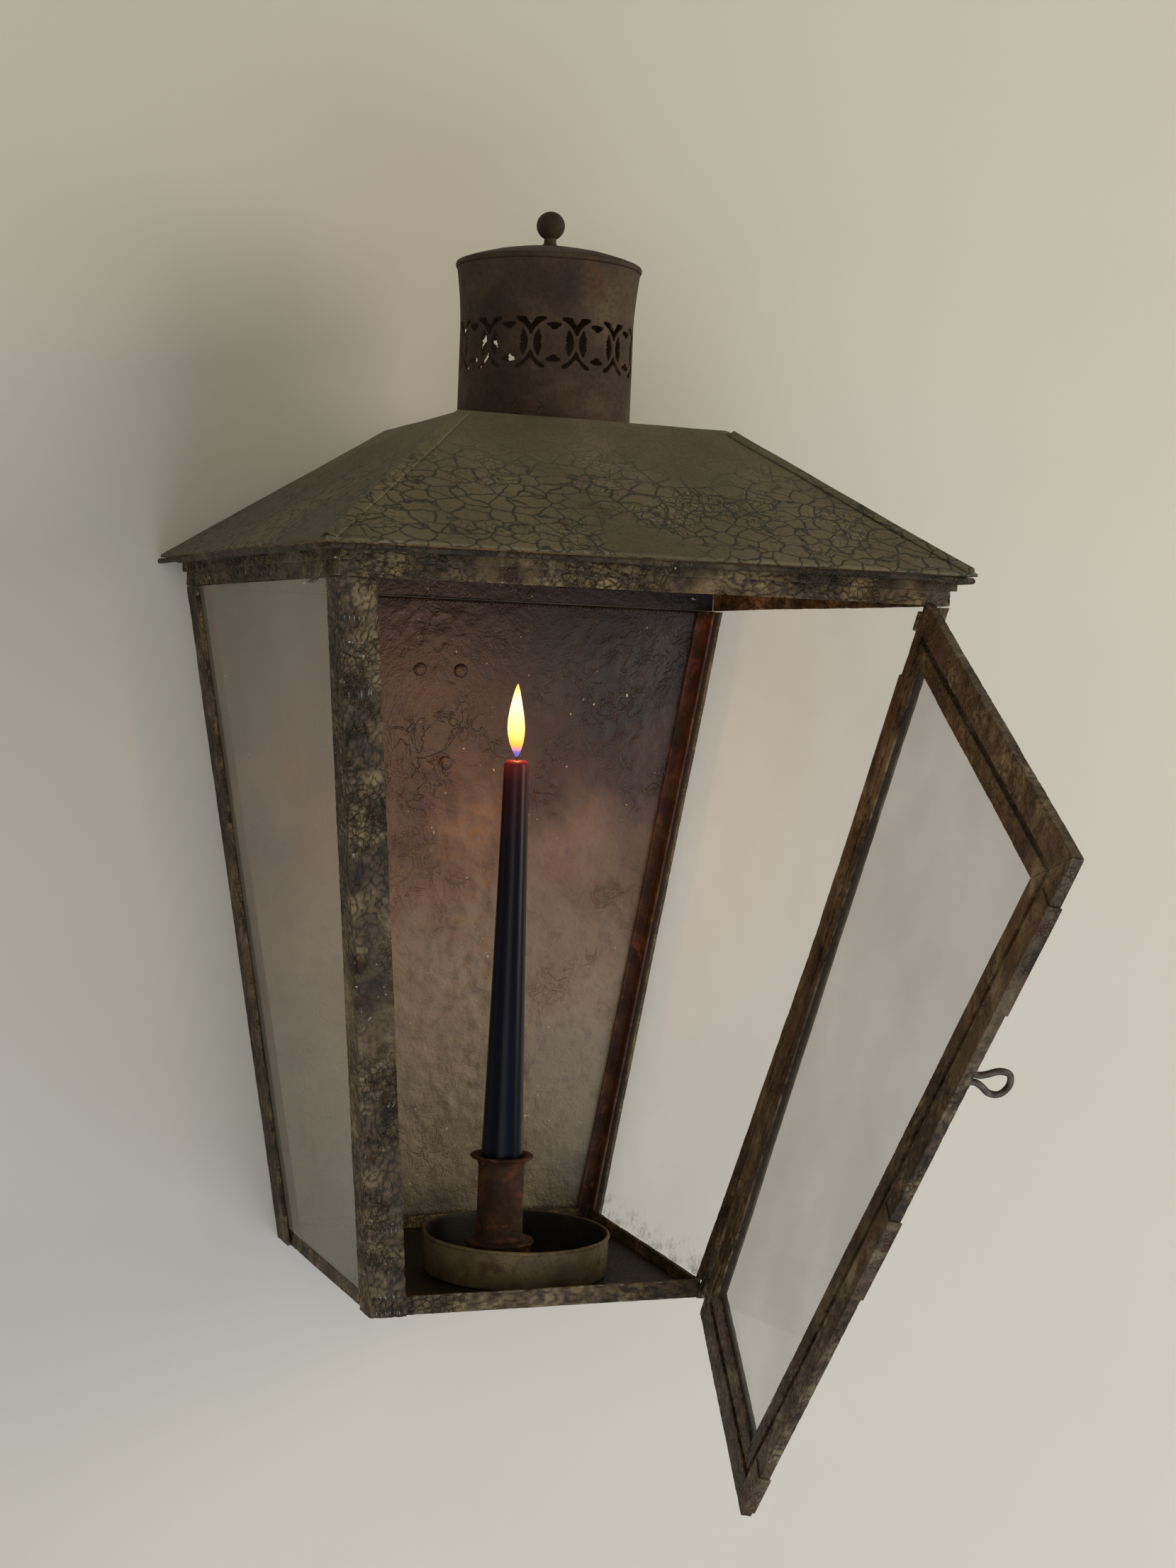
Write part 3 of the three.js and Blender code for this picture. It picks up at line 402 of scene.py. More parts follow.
ironWire = makeWire()
print("finishes made")


def finishPiece(name, bm, material, body, smoothAngle=40, replaced=()):
    for vertex in bm.verts:  # nothing stands outside the solid model's box
        for axis in range(3):
            vertex.co[axis] = min(max(vertex.co[axis], cadLow[axis]), cadHigh[axis])
    mesh = bpy.data.meshes.new(name)
    bm.to_mesh(mesh)
    bm.free()
    mesh.shade_smooth()
    mesh.set_sharp_from_angle(angle=math.radians(smoothAngle))
    mesh.materials.clear()
    mesh.materials.append(material)
    piece = bpy.data.objects.new(name, mesh)
    bpy.context.scene.collection.objects.link(piece)
    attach(piece, body)
    if replaced:
        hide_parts(*replaced)
    return piece


hammered = {"slow": 14, "quick": 55, "slowShare": 0.75, "quickShare": 0.25}  # waves per metre


def unevenness(point, reach):
    slow = noise.noise_vector(point * hammered["slow"])
    quick = noise.noise_vector(point * hammered["quick"] + Vector((3.1, 1.7, 9.2)))
    return slow * (hammered["slowShare"] * reach) + quick * (hammered["quickShare"] * reach)


def roughen(bm, reach, share=1.0):
    for vertex in bm.verts:
        vertex.co += unevenness(vertex.co, reach) * share


def splitLongEdges(bm, spacing):
    for _ in range(9):
        longEdges = [edge for edge in bm.edges if edge.calc_length() > spacing]
        if not longEdges:
            break
        bmesh.ops.subdivide_edges(bm, edges=longEdges, cuts=1)
        bmesh.ops.triangulate(bm, faces=[face for face in bm.faces if len(face.verts) > 3])


cracking = {"drift": 0.28, "width": 0.2, "patches": 23, "spread": 0.28, "fade": 0.2}


def crackAt(point, cell):
    drift = noise.noise_vector(point * 260) * (cracking["drift"] * cell)
    near, second = noise.voronoi((point + drift) / cell, distance_metric="DISTANCE", exponent=2)[0][:2]
    where = noise.noise(point * cracking["patches"] + Vector((4.7, 2.2, 8.1)))
    patch = min(max((where + cracking["spread"]) / cracking["fade"], 0.0), 1.0)
    return max(0.0, 1 - (second - near) / cracking["width"]) * patch


def wornPiece(node, material, body, bevel=0.35, spacing=9, reach=0.35, crackDeep=0.0, cell=4.6):
    bm = bmesh.new()
    bm.from_mesh(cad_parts[node].data)
    bmesh.ops.remove_doubles(bm, verts=bm.verts, dist=1e-6)
    bmesh.ops.dissolve_limit(bm, angle_limit=math.radians(1.5), verts=bm.verts, edges=bm.edges)
    sharp = [edge for edge in bm.edges if edge.calc_face_angle(0) > math.radians(28)]
    if bevel:
        bmesh.ops.bevel(
            bm, geom=sharp, offset=bevel * mm, segments=2, profile=0.6, affect="EDGES", clamp_overlap=True)
    bmesh.ops.triangulate(bm, faces=bm.faces)
    splitLongEdges(bm, spacing * mm)
    bm.normal_update()
    layer = bm.verts.layers.float.new("crackDepth")
    edgeWearAndHighlightLayer = bm.verts.layers.float.new("edgeWearAndHighlightMask")
    # Convex edges are marked for lightening: worn paint plus a painted edge highlight.
    for edge in bm.edges:
        if edge.is_convex and edge.calc_face_angle(0) > math.radians(20):
            for vertex in edge.verts:
                vertex[edgeWearAndHighlightLayer] = 1.0
    moves = []
    for vertex in bm.verts:
        shift = unevenness(vertex.co, reach * mm)
        if crackDeep:
            vertex[layer] = crackAt(vertex.co, cell * mm)
            shift = shift - vertex.normal * (vertex[layer] * crackDeep * mm)
        moves.append(shift)
    for vertex, shift in zip(bm.verts, moves):
        vertex.co += shift
    return finishPiece(node + "_worn", bm, material, body, replaced=(node,))


def turnedShape(profile, segments, centre, closed=False):
    bm = bmesh.new()
    rings = []
    for radius, z in profile:
        copies = 1 if radius == 0 else segments
        rings.append([bm.verts.new((
            centre[0] + radius * math.cos(2 * math.pi * k / segments),
            centre[1] + radius * math.sin(2 * math.pi * k / segments), z)) for k in range(copies)])
    pairs = list(zip(rings, rings[1:])) + ([(rings[-1], rings[0])] if closed else [])
    for low, high in pairs:
        for k in range(segments):
            m = (k + 1) % segments
            corners = [low[k % len(low)], low[m % len(low)], high[m % len(high)], high[k % len(high)]]
            unique = list(dict.fromkeys(corners))
            bm.faces.new(unique)
    bmesh.ops.recalc_face_normals(bm, faces=bm.faces)
    return bm


sheetPieces = {  # nodes, material, slot, bevel mm, mesh spacing mm, unevenness mm, crack depth mm
    "lantern": [
        (["roof_front", "roof_left", "roof_right", "roof_back", "roof_flat"], roofPaint, "roof_paint",
         0.3, 8, 0.9, 0),
        (["hip_strip_left", "hip_strip_right"], roofPaint, "roof_paint", 0.15, 6, 0.9, 0),
        (["front_left_post", "fascia_front", "fascia_left"], bodyPaint, "body_paint",
         0.3, 1.5, 0.5, 0.45),
        (["front_right_post", "rear_left_came", "rear_right_came", "base_rail_front", "base_rail_left",
          "base_rail_right", "base_rail_back", "fascia_right", "left_front_bead", "right_front_bead",
          "torn_tab"],
         bodyPaint, "body_paint", 0.3, 3, 0.45, 0.25),
        (["fascia_back"], backPaint, "back_paint", 0.3, 8, 0.3, 0),
        (["left_rear_bead", "right_rear_bead"], rustedIron, "rusty_tin", 0.3, 4, 0.35, 0),
        (["floor_plate"], floorTinSootAndShade, "pan_tin", 0.2, 12, 0.3, 0),
        (["hanger_plate"], rustedIron, "rusty_tin", 0.15, 10, 0.0, 0),
        (["hinge_eye_bottom", "hinge_eye_top"], bodyPaint, "body_paint", 0.2, 4, 0.0, 0),
        (["hinge_wire"], ironWire, "wire", 0, 12, 0.0, 0),
    ],
    "door": [
        (["door_top_rail", "door_bottom_rail", "door_hinge_stile", "door_latch_stile"],
         doorPaint, "door_paint", 0.35, 2.5, 0.4, 0.22),
        (["latch_patch_1", "latch_patch_2", "latch_patch_3"], doorPaint, "door_paint", 0.12, 3, 0.35, 0),
        (["door_knuckle"], doorPaint, "door_paint", 0, 4, 0.15, 0),
    ],
}
for body, rows in sheetPieces.items():
    for nodes, material, slotName, bevel, spacing, reach, depth in rows:
        for node in nodes:
            wornPiece(node, material, body, bevel, spacing, reach, depth)
print("sheet metal done")


blisters = {"spacing": 3.2 * mm, "rise": 2.0 * mm, "patches": 11, "ripples": 80, "puckers": 210}


def makeBackPanel():
    bm = bmesh.new()
    bm.from_mesh(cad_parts["back_panel"].data)
    bmesh.ops.remove_doubles(bm, verts=bm.verts, dist=1e-6)
    bmesh.ops.triangulate(bm, faces=bm.faces)
    splitLongEdges(bm, blisters["spacing"])
    front = min(vertex.co.y for vertex in bm.verts)
    for vertex in bm.verts:
        if vertex.co.y < front + 0.3 * mm:
            x, z = vertex.co.x, vertex.co.z
            patch = noise.noise(Vector((x * blisters["patches"] + 2.3, 0, z * blisters["patches"])))
            ridge = noise.noise(Vector((x * blisters["ripples"], 4.0, z * blisters["ripples"])))
            ripple = 1 - abs(ridge) * 2.2
            pucker = noise.noise(Vector((x * blisters["puckers"], 9.0, z * blisters["puckers"])))
            swell = max(0.0, ripple) + 0.5 * pucker + 0.3
            vertex.co.y -= max(0.0, patch + 0.1) * swell * blisters["rise"]
    return finishPiece("back_panel_blistered", bm, backPaint, "lantern", 60, ("back_panel",))


makeBackPanel()


def startTree(name, inputs):
    tree = bpy.data.node_groups.new(name, "GeometryNodeTree")
    tree.interface.new_socket("Geometry", in_out="INPUT", socket_type="NodeSocketGeometry")
    sockets = {}
    for label, kind in inputs.items():
        sockets[label] = tree.interface.new_socket(label, in_out="INPUT", socket_type=kind).identifier
    tree.interface.new_socket("Geometry", in_out="OUTPUT", socket_type="NodeSocketGeometry")
    return tree, addNode(tree, "NodeGroupInput"), addNode(tree, "NodeGroupOutput"), sockets


def closeTree(tree, geometry, output, material):
    real = addNode(tree, "GeometryNodeRealizeInstances", {"Geometry": geometry})
    painted = addNode(tree, "GeometryNodeSetMaterial", {"Geometry": real.outputs[0]})
    painted.inputs["Material"].default_value = material
    tree.links.new(painted.outputs[0], output.inputs[0])


def bakeTree(name, source, tree, sockets, values):
    modifier = source.modifiers.new(name, "NODES")
    modifier.node_group = tree
    for label, value in values.items():
        modifier[sockets[label]] = value
    graph = bpy.context.evaluated_depsgraph_get()
    mesh = bpy.data.meshes.new_from_object(source.evaluated_get(graph))
    source.modifiers.clear()
    bm = bmesh.new()
    bm.from_mesh(mesh)
    return bm


def helperObject(name, bm):
    mesh = bpy.data.meshes.new(name)
    bm.to_mesh(mesh)
    bm.free()
    helper = bpy.data.objects.new(name, mesh)
    bpy.context.scene.collection.objects.link(helper)
    return helper


def dropHelper(helper):
    bpy.data.objects.remove(helper, do_unlink=True)


chimneyLow, chimneyHigh = boxOf("chimney_tube")
chimney = {  # radii in metres, counts, the band's centre above the foot, and where the flare begins
    "radius": 44.2 * mm, "topRadius": 46.8 * mm, "wall": 1.2 * mm, "repeats": 12, "plain": 3,
    "bandUp": 40 * mm, "flareFrom": 0.62, "flareCurve": 1.8, "rings": 24, "sides": 144,
    "foot": chimneyLow.z, "top": chimneyHigh.z, "y": middleOf(chimneyLow, chimneyHigh)[1]}
halfPitch = math.pi * chimney["radius"] / chimney["repeats"] / mm


def polar(radius, degrees):
    return (radius * math.cos(math.radians(degrees)), radius * math.sin(math.radians(degrees)))


def mirrored(outline, acrossSign, upSign):
    flipped = [(x * acrossSign, y * upSign) for x, y in outline]
    return flipped if acrossSign * upSign > 0 else flipped[::-1]


def bandOutlines():
    crescent = [polar(10.3, a) for a in range(-42, 43, 6)]
    crescent += [polar(r, a) for a, r in (
        (37, 8.6), (30, 7.6), (24, 6.3), (17, 6.8), (10, 5.9), (4, 6.6), (-3, 6.5), (-10, 5.8), (-16, 6.7),
        (-23, 6.2), (-30, 7.5), (-37, 8.6))]
    slot = [polar(10.2, a) for a in (68, 79, 90, 101, 112)]
    slot += [(-3.5, 8.0), (-1.9, 7.7), (-1.1, 6.5), (1.3, 6.4), (2.1, 7.6), (3.5, 8.1)]
    lowSlot = [(x, -y + 0.6) for x, y in reversed(slot)]
    arm = [(halfPitch - x, y) for x, y in (polar(11.7, a) for a in (20, 30, 40, 49, 57, 64))]
    half = arm + [(7.6, 11.2), (7.6, 12.6), (5.0, 12.8), (2.4, 12.4), (1.3, 10.4)]
    bird = [(0, 3.6)] + half + [(0, 8.9)] + [(-x, y) for x, y in reversed(half)]
    thin = arm + [(7.5, 11.4), (7.3, 12.6), (5.4, 12.7), (2.9, 10.9), (1.3, 8.9)]
    lowBird = [(0, 3.6)] + thin + [(0, 7.9)] + [(-x, y) for x, y in reversed(thin)]
    birds = [[(x + halfPitch, y) for x, y in outline] for outline in (bird, mirrored(lowBird, 1, -1))]
    return [crescent, mirrored(crescent, -1, 1), slot, lowSlot] + birds


def makeBandCutter():
    reach = 4 * mm  # the cutters stand this far past the tube's skin
    bm = bmesh.new()
    for outline in bandOutlines():
        rings = []
        for radius in (chimney["radius"] - reach, chimney["radius"] + reach):
            ring = []
            for across, up in outline:
                angle = across * mm / chimney["radius"]
                height = chimney["bandUp"] + up * mm
                ring.append(bm.verts.new((radius * math.cos(angle), radius * math.sin(angle), height)))
            rings.append(ring)
        count = len(outline)
        for k in range(count):
            m = (k + 1) % count
            bm.faces.new((rings[0][k], rings[0][m], rings[1][m], rings[1][k]))
        bm.faces.new(rings[1])
        bm.faces.new(list(reversed(rings[0])))
    bmesh.ops.recalc_face_normals(bm, faces=bm.faces)
    return helperObject("bandCutter", bm)


def makeChimney():
    height = chimney["top"] - chimney["foot"]
    wall = []
    for k in range(chimney["rings"] + 1):
        up = k / chimney["rings"]
        flare = max(0.0, (up - chimney["flareFrom"]) / (1 - chimney["flareFrom"])) ** chimney["flareCurve"]
        wall.append((chimney["radius"] + (chimney["topRadius"] - chimney["radius"]) * flare, height * up))
    inner = [(radius - chimney["wall"], z) for radius, z in reversed(wall)]
    tube = helperObject("chimneyBlank", turnedShape(wall + inner, chimney["sides"], (0, 0), closed=True))
    cutter = makeBandCutter()
    tree, start, end, sockets = startTree("piercedBand", {
        "Motif": "NodeSocketObject", "Repeats": "NodeSocketInt", "Plain": "NodeSocketInt"})
    motif = addNode(tree, "GeometryNodeObjectInfo", {"Object": start.outputs["Motif"]})
    cutCount = addMath(tree, "SUBTRACT", start.outputs["Repeats"], start.outputs["Plain"])
    points = addNode(tree, "GeometryNodePoints", {"Count": cutCount})
    index = addNode(tree, "GeometryNodeInputIndex")
    place = addMath(tree, "ADD", addMath(tree, "ADD", index.outputs[0], start.outputs["Plain"]), 0.5)
    share = addMath(tree, "DIVIDE", place, start.outputs["Repeats"])
    turn = addMath(tree, "MULTIPLY", share, 2 * math.pi)
    spin = addNode(tree, "ShaderNodeCombineXYZ", {"Z": turn})
    cuts = addNode(tree, "GeometryNodeInstanceOnPoints", {
        "Points": points.outputs[0], "Instance": motif.outputs["Geometry"], "Rotation": spin.outputs[0]})
    real = addNode(tree, "GeometryNodeRealizeInstances", {"Geometry": cuts.outputs[0]})
    pierced = addNode(tree, "GeometryNodeMeshBoolean", operation="DIFFERENCE", solver="EXACT")
    tree.links.new(start.outputs["Geometry"], pierced.inputs[0])
    tree.links.new(real.outputs[0], pierced.inputs[1])
    closeTree(tree, pierced.outputs[0], end, chimneyPaint)
    bm = bakeTree("piercedBand", tube, tree, sockets, {
        "Motif": cutter, "Repeats": chimney["repeats"], "Plain": chimney["plain"]})
    dropHelper(tube)
    dropHelper(cutter)
    for vertex in bm.verts:
        vertex.co += Vector((0, chimney["y"], chimney["foot"]))
        vertex.co += unevenness(vertex.co, 0.3 * mm) * 0.6
    return finishPiece("chimney_pierced", bm, chimneyPaint, "lantern", 30, ("chimney_tube",))


makeChimney()
print("chimney pierced")


capShape = {"sides": 96, "neck": 4.6 * mm, "uneven": 0.5 * mm}


def makeCap():
    low, high = boxOf("chimney_cap")
    rim = (high.x - low.x) / 2
    rise = high.z - low.z
    edge = [(2.2, 0.2), (0.6, 0.0), (0.1, 0.7), (0, 1.6), (0.2, 2.5), (0.9, 3.0), (1.8, 3.1)]  # inwards, up
    dome = [(0.9, 4.5), (0.8, 6.0), (0.66, 7.9), (0.5, 9.5), (0.33, 10.8), (0.16, 11.6)]  # rim share, up
    profile = [(0, 0.2)] + [(rim - inset * mm, z) for inset, z in edge]
    profile += [(rim * share, z) for share, z in dome]
    profile += [(capShape["neck"], 11.9), (0, 12.0)]
    bm = turnedShape([(r, low.z + z / 12 * rise) for r, z in profile], capShape["sides"], (0, chimney["y"]))
    roughen(bm, capShape["uneven"], 0.7)
    finishPiece("chimney_cap_domed", bm, chimneyPaint, "lantern", 50, ("chimney_cap",))


finialShape = {"sides": 48, "ballSteps": 16, "ballFrom": -1.12, "uneven": 0.25 * mm}


def makeFinial():
    low, high = boxOf("finial")
    ball = (high.x - low.x) / 2
    middle = high.z - ball
    steps, first = finialShape["ballSteps"], finialShape["ballFrom"]
    profile = [(0, low.z), (5.0 * mm, low.z), (4.6 * mm, low.z + 0.7 * mm), (3.4 * mm, low.z + 1.5 * mm),
               (3.1 * mm, low.z + 3.0 * mm)]
    for k in range(steps + 1):
        angle = first + (math.pi / 2 - first) * k / steps
        profile.append((0 if k == steps else ball * math.cos(angle), middle + ball * math.sin(angle)))
    bm = turnedShape(profile, finialShape["sides"], (0, chimney["y"]))
    roughen(bm, finialShape["uneven"])
    finishPiece("finial_ball", bm, chimneyPaint, "lantern", 50, ("finial",))


makeCap()
makeFinial()


eaveRoll = {
    "radius": 1.4 * mm, "corner": 5 * mm, "cornerSteps": 6, "step": 6 * mm, "sides": 14, "endGap": 1 * mm}


def makeEaveRoll():
    frontLow, frontHigh = boxOf("eave_bead_front")
    leftLow, leftHigh = boxOf("eave_bead_left")
    rightLow, rightHigh = boxOf("eave_bead_right")
    r = eaveRoll["radius"]
    z = (frontLow.z + frontHigh.z) / 2
    path = [(leftLow.x + r, leftHigh.y - eaveRoll["endGap"], z), (frontLow.x + r, frontLow.y + r, z),
            (frontHigh.x - r, frontLow.y + r, z), (rightHigh.x - r, rightHigh.y - eaveRoll["endGap"], z)]
    bm = bmesh.new()
    corners = [bm.verts.new(p) for p in path]
    for a, b in zip(corners, corners[1:]):
        bm.edges.new((a, b))
    guide = helperObject("eaveGuide", bm)
    tree, start, end, sockets = startTree("eaveRoll", {
        "Radius": "NodeSocketFloat", "Corner": "NodeSocketFloat", "Sides": "NodeSocketInt"})
    line = addNode(tree, "GeometryNodeMeshToCurve", {"Mesh": start.outputs["Geometry"]})
    bend = addNode(tree, "GeometryNodeFilletCurve", {
        "Curve": line.outputs[0], "Radius": start.outputs["Corner"],
        "Count": eaveRoll["cornerSteps"]}, mode="POLY")
    steps = addNode(tree, "GeometryNodeResampleCurve", {
        "Curve": bend.outputs[0], "Length": eaveRoll["step"]}, mode="LENGTH")
    ring = addNode(tree, "GeometryNodeCurvePrimitiveCircle", {
        "Resolution": start.outputs["Sides"], "Radius": start.outputs["Radius"]})
    swept = addNode(tree, "GeometryNodeCurveToMesh", {
        "Curve": steps.outputs[0], "Profile Curve": ring.outputs[0], "Fill Caps": True})
    closeTree(tree, swept.outputs[0], end, edgePaint)
    bm = bakeTree("eaveRoll", guide, tree, sockets, {
        "Radius": r, "Corner": eaveRoll["corner"], "Sides": eaveRoll["sides"]})
    dropHelper(guide)
    roughen(bm, 0.6 * mm)
    bmesh.ops.recalc_face_normals(bm, faces=bm.faces)
    return finishPiece("eave_roll", bm, edgePaint, "lantern", 50,
                       ("eave_bead_front", "eave_bead_left", "eave_bead_right"))


makeEaveRoll()
print("eave rolled")


rivetHead = {"radius": 4.1 * mm, "height": 1.7 * mm, "sides": 28}


def makeRivets():
    names = ["hanger_rivet_1", "hanger_rivet_2", "hanger_rivet_3"]
    bm = bmesh.new()
    for name in names:
        low, high = boxOf(name)
        bm.verts.new(((low.x + high.x) / 2, high.y, (low.z + high.z) / 2))
    spots = helperObject("rivetSpots", bm)
    r, h = rivetHead["radius"], rivetHead["height"]
    dome = [(0, 0), (r, 0), (r * 0.97, h * 0.25), (r * 0.86, h * 0.55), (r * 0.6, h * 0.85),
            (r * 0.3, h * 0.97), (0, h)]
    head = helperObject("rivetDome", turnedShape(dome, rivetHead["sides"], (0, 0)))
    tree, start, end, sockets = startTree("hangerRivets", {"Head": "NodeSocketObject"})
    dots = addNode(tree, "GeometryNodeMeshToPoints", {"Mesh": start.outputs["Geometry"]})
    shape = addNode(tree, "GeometryNodeObjectInfo", {"Object": start.outputs["Head"]})
    placed = addNode(tree, "GeometryNodeInstanceOnPoints", {
        "Points": dots.outputs[0], "Instance": shape.outputs["Geometry"], "Rotation": (math.pi / 2, 0, 0)})
    closeTree(tree, placed.outputs[0], end, backPaint)
    bm = bakeTree("hangerRivets", spots, tree, sockets, {"Head": head})
    dropHelper(spots)
    dropHelper(head)
    return finishPiece("hanger_rivets", bm, backPaint, "lantern", 50, names)


makeRivets()


def makePane(node, material, body):
    bm = bmesh.new()
    bm.from_mesh(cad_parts[node].data)
    bmesh.ops.remove_doubles(bm, verts=bm.verts, dist=1e-6)
    bmesh.ops.dissolve_limit(bm, angle_limit=math.radians(1.5), verts=bm.verts, edges=bm.edges)
    bmesh.ops.triangulate(bm, faces=bm.faces)
    return finishPiece(node + "_pane", bm, material, body, 30, (node,))


makePane("left_glass", leftGlass, "lantern")
makePane("right_glass", sideGlass, "lantern")
makePane("door_glass", doorGlass, "door")


def makeLoop():
    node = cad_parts["latch_loop"]
    bm = bmesh.new()
    bm.from_mesh(node.data)
    bmesh.ops.remove_doubles(bm, verts=bm.verts, dist=1e-6)
    bmesh.ops.smooth_vert(bm, verts=bm.verts, factor=0.2, use_axis_x=True, use_axis_y=True, use_axis_z=True)
    return finishPiece("latch_loop_wire", bm, ironWire, "door", 60, ("latch_loop",))


makeLoop()


panShape = {
    "metal": 1.2 * mm, "skin": 0.9 * mm, "roll": 1.0 * mm, "rollSteps": 8, "sides": 96, "uneven": 0.35 * mm}
footShape = {"sides": 72, "uneven": 0.3 * mm}
socketShape = {"bore": 11.3 * mm, "deep": 21.9 * mm, "sides": 72, "uneven": 0.3 * mm}


def makePan():
    low, high = boxOf("candle_pan")
    out = (high.x - low.x) / 2 - panShape["skin"]
    metal, roll = panShape["metal"], panShape["roll"]
    top, foot = high.z, low.z
    profile = [(0, foot), (out - 2.2 * mm, foot), (out - 0.7 * mm, foot + 0.4 * mm), (out, foot + 1.8 * mm),
               (out, top - 2.4 * mm)]
    for k in range(panShape["rollSteps"] + 1):
        angle = -math.pi / 2 + math.pi * 1.35 * k / panShape["rollSteps"]
        profile.append((out - 0.15 * mm + roll * math.cos(angle), top - roll + roll * math.sin(angle)))
    profile += [(out - metal, top - 2.0 * mm), (out - metal, foot + 2.0 * mm), (out - 2.6 * mm, foot + metal),
                (0, foot + metal)]
    bm = turnedShape(profile, panShape["sides"], middleOf(low, high))
    roughen(bm, panShape["uneven"])
    finishPiece("candle_pan_rolled", bm, panOutside, "lantern", 45, ("candle_pan",))


def makeSocketFoot():
    low, high = boxOf("socket_foot")
    wide = (high.x - low.x) / 2
    profile = [(0, low.z), (wide - 2 * mm, low.z), (wide - 1.4 * mm, low.z + 3 * mm),
               (wide - 1.4 * mm, high.z - 3.5 * mm), (wide - 0.6 * mm, high.z - 2.2 * mm),
               (wide, high.z - 1.0 * mm), (wide - 0.5 * mm, high.z - 0.1 * mm), (wide - 2.5 * mm, high.z),
               (0, high.z)]
    bm = turnedShape(profile, footShape["sides"], middleOf(low, high))
    roughen(bm, footShape["uneven"])
    finishPiece("socket_foot_dished", bm, rustedIron, "lantern", 45, ("socket_foot",))


def makeSocket():
    low, high = boxOf("candle_socket")
    centre = middleOf(low, high)
    lip = (high.x - low.x) / 2
    bore, deep = socketShape["bore"], socketShape["deep"]
    profile = [(0, low.z), (13.4 * mm, low.z), (13.0 * mm, low.z + 1.2 * mm), (12.3 * mm, low.z + 3 * mm),
               (12.2 * mm, high.z - 6 * mm), (12.9 * mm, high.z - 3.4 * mm), (14.6 * mm, high.z - 2.2 * mm),
               (lip - 0.7 * mm, high.z - 1.6 * mm), (lip, high.z - 0.8 * mm),
               (lip - 0.6 * mm, high.z - 0.1 * mm), (lip - 2 * mm, high.z),
               (bore + 1.2 * mm, high.z - 0.5 * mm), (bore, high.z - 1.8 * mm), (bore, high.z - deep),
               (0, high.z - deep - 0.05 * mm)]
    bm = turnedShape(profile, socketShape["sides"], centre)
    for vertex in bm.verts:
        if (vertex.co.xy - Vector(centre)).length > 12 * mm:  # the bore stays round
            vertex.co += unevenness(vertex.co, socketShape["uneven"])
    finishPiece("candle_socket_flared", bm, rustedIron, "lantern", 45, ("candle_socket",))


darkInsideEdge = (48.3 * mm, 47.9 * mm)


def makePanOutside():
    # The same painted tin, nearly black inside the pan.
    material = panPaint.copy()
    material.name = "khakiPanTinSootedInside"
    tree = material.node_tree
    shader = tree.nodes["Principled BSDF"]
    x, y = middleOf(*boxOf("candle_pan"))
    coords = addNode(tree, "ShaderNodeTexCoord").outputs["Object"]
    centred = addNode(tree, "ShaderNodeMapping", {0: coords, "Location": (-x, -y, 0)}).outputs[0]
    flat = addNode(tree, "ShaderNodeVectorMath", {0: centred, 1: (1, 1, 0)}, operation="MULTIPLY").outputs[0]
    radius = addNode(tree, "ShaderNodeVectorMath", {0: flat}, operation="LENGTH").outputs["Value"]
    inside = addMask(tree, radius, *darkInsideEdge)
    old = shader.inputs["Base Color"].links[0].from_socket
    colour = mixColours(tree, addMath(tree, "MULTIPLY", inside, 0.93), old, "0d0a07")
    tree.links.new(colour, shader.inputs["Base Color"])
    return material


panOutside = makePanOutside()
makePan()
makeSocketFoot()
makeSocket()
print("holder made")


candleLow, candleHigh = boxOf("candle")
candleShape = {"tip": 6.6 * mm, "hollow": 0.25 * mm, "steps": 25, "sides": 64}
wickShape = {"radius": 0.55 * mm, "thinning": 0.35, "bend": 0.25 * mm, "steps": 12, "sides": 12}
flameShape = {"gap": 1.2 * mm, "tall": 39 * mm, "radius": 4.6 * mm, "lean": 1.1 * mm, "sides": 40}


def makeTaper(centre):
    low, high = candleLow, candleHigh
    base = (high.x - low.x) / 2
    tip, steps = candleShape["tip"], candleShape["steps"]
    lip = boxOf("candle_socket")[1].z
    profile = [(0, low.z + 0.05 * mm), (base - 0.4 * mm, low.z + 0.05 * mm), (base, low.z + 0.6 * mm),
               (base, lip)]
    for k in range(1, steps):
        share = k / steps
        radius = base + (tip - base) * share - candleShape["hollow"] * math.sin(math.pi * share)
        profile.append((radius, lip + (high.z - 5 * mm - lip) * share))
    profile += [(tip, high.z - 4 * mm), (tip - 0.1 * mm, high.z - 2 * mm),
                (tip - 0.8 * mm, high.z - 0.7 * mm), (tip - 1.9 * mm, high.z - 0.15 * mm),
                (3.2 * mm, high.z - 0.9 * mm), (1.5 * mm, high.z - 1.6 * mm), (0, high.z - 1.8 * mm)]
    bm = turnedShape(profile, candleShape["sides"], centre)
    finishPiece("taper_candle", bm, makeWax(high.z), "taper", 50, ("candle",))


def makeWickPiece(centre):
    low, high = boxOf("wick")
    steps, sides = wickShape["steps"], wickShape["sides"]
    bm = bmesh.new()
    rings = []
    for k in range(steps + 1):
        share = k / steps
        bend = wickShape["bend"] * math.sin(share * 2.6)
        thick = wickShape["radius"] * (1 - wickShape["thinning"] * share ** 3)
        rings.append([bm.verts.new((
            centre.x + bend + thick * math.cos(2 * math.pi * s / sides),
            centre.y + thick * math.sin(2 * math.pi * s / sides),
            low.z + (high.z - low.z) * share)) for s in range(sides)])
    for a, b in zip(rings, rings[1:]):
        for s in range(sides):
            bm.faces.new((a[s], a[(s + 1) % sides], b[(s + 1) % sides], b[s]))
    bm.faces.new(list(reversed(rings[0])))
    bm.faces.new(rings[-1])
    finishPiece("wick_charred", bm, makeWick(), "taper", 60, ("wick",))


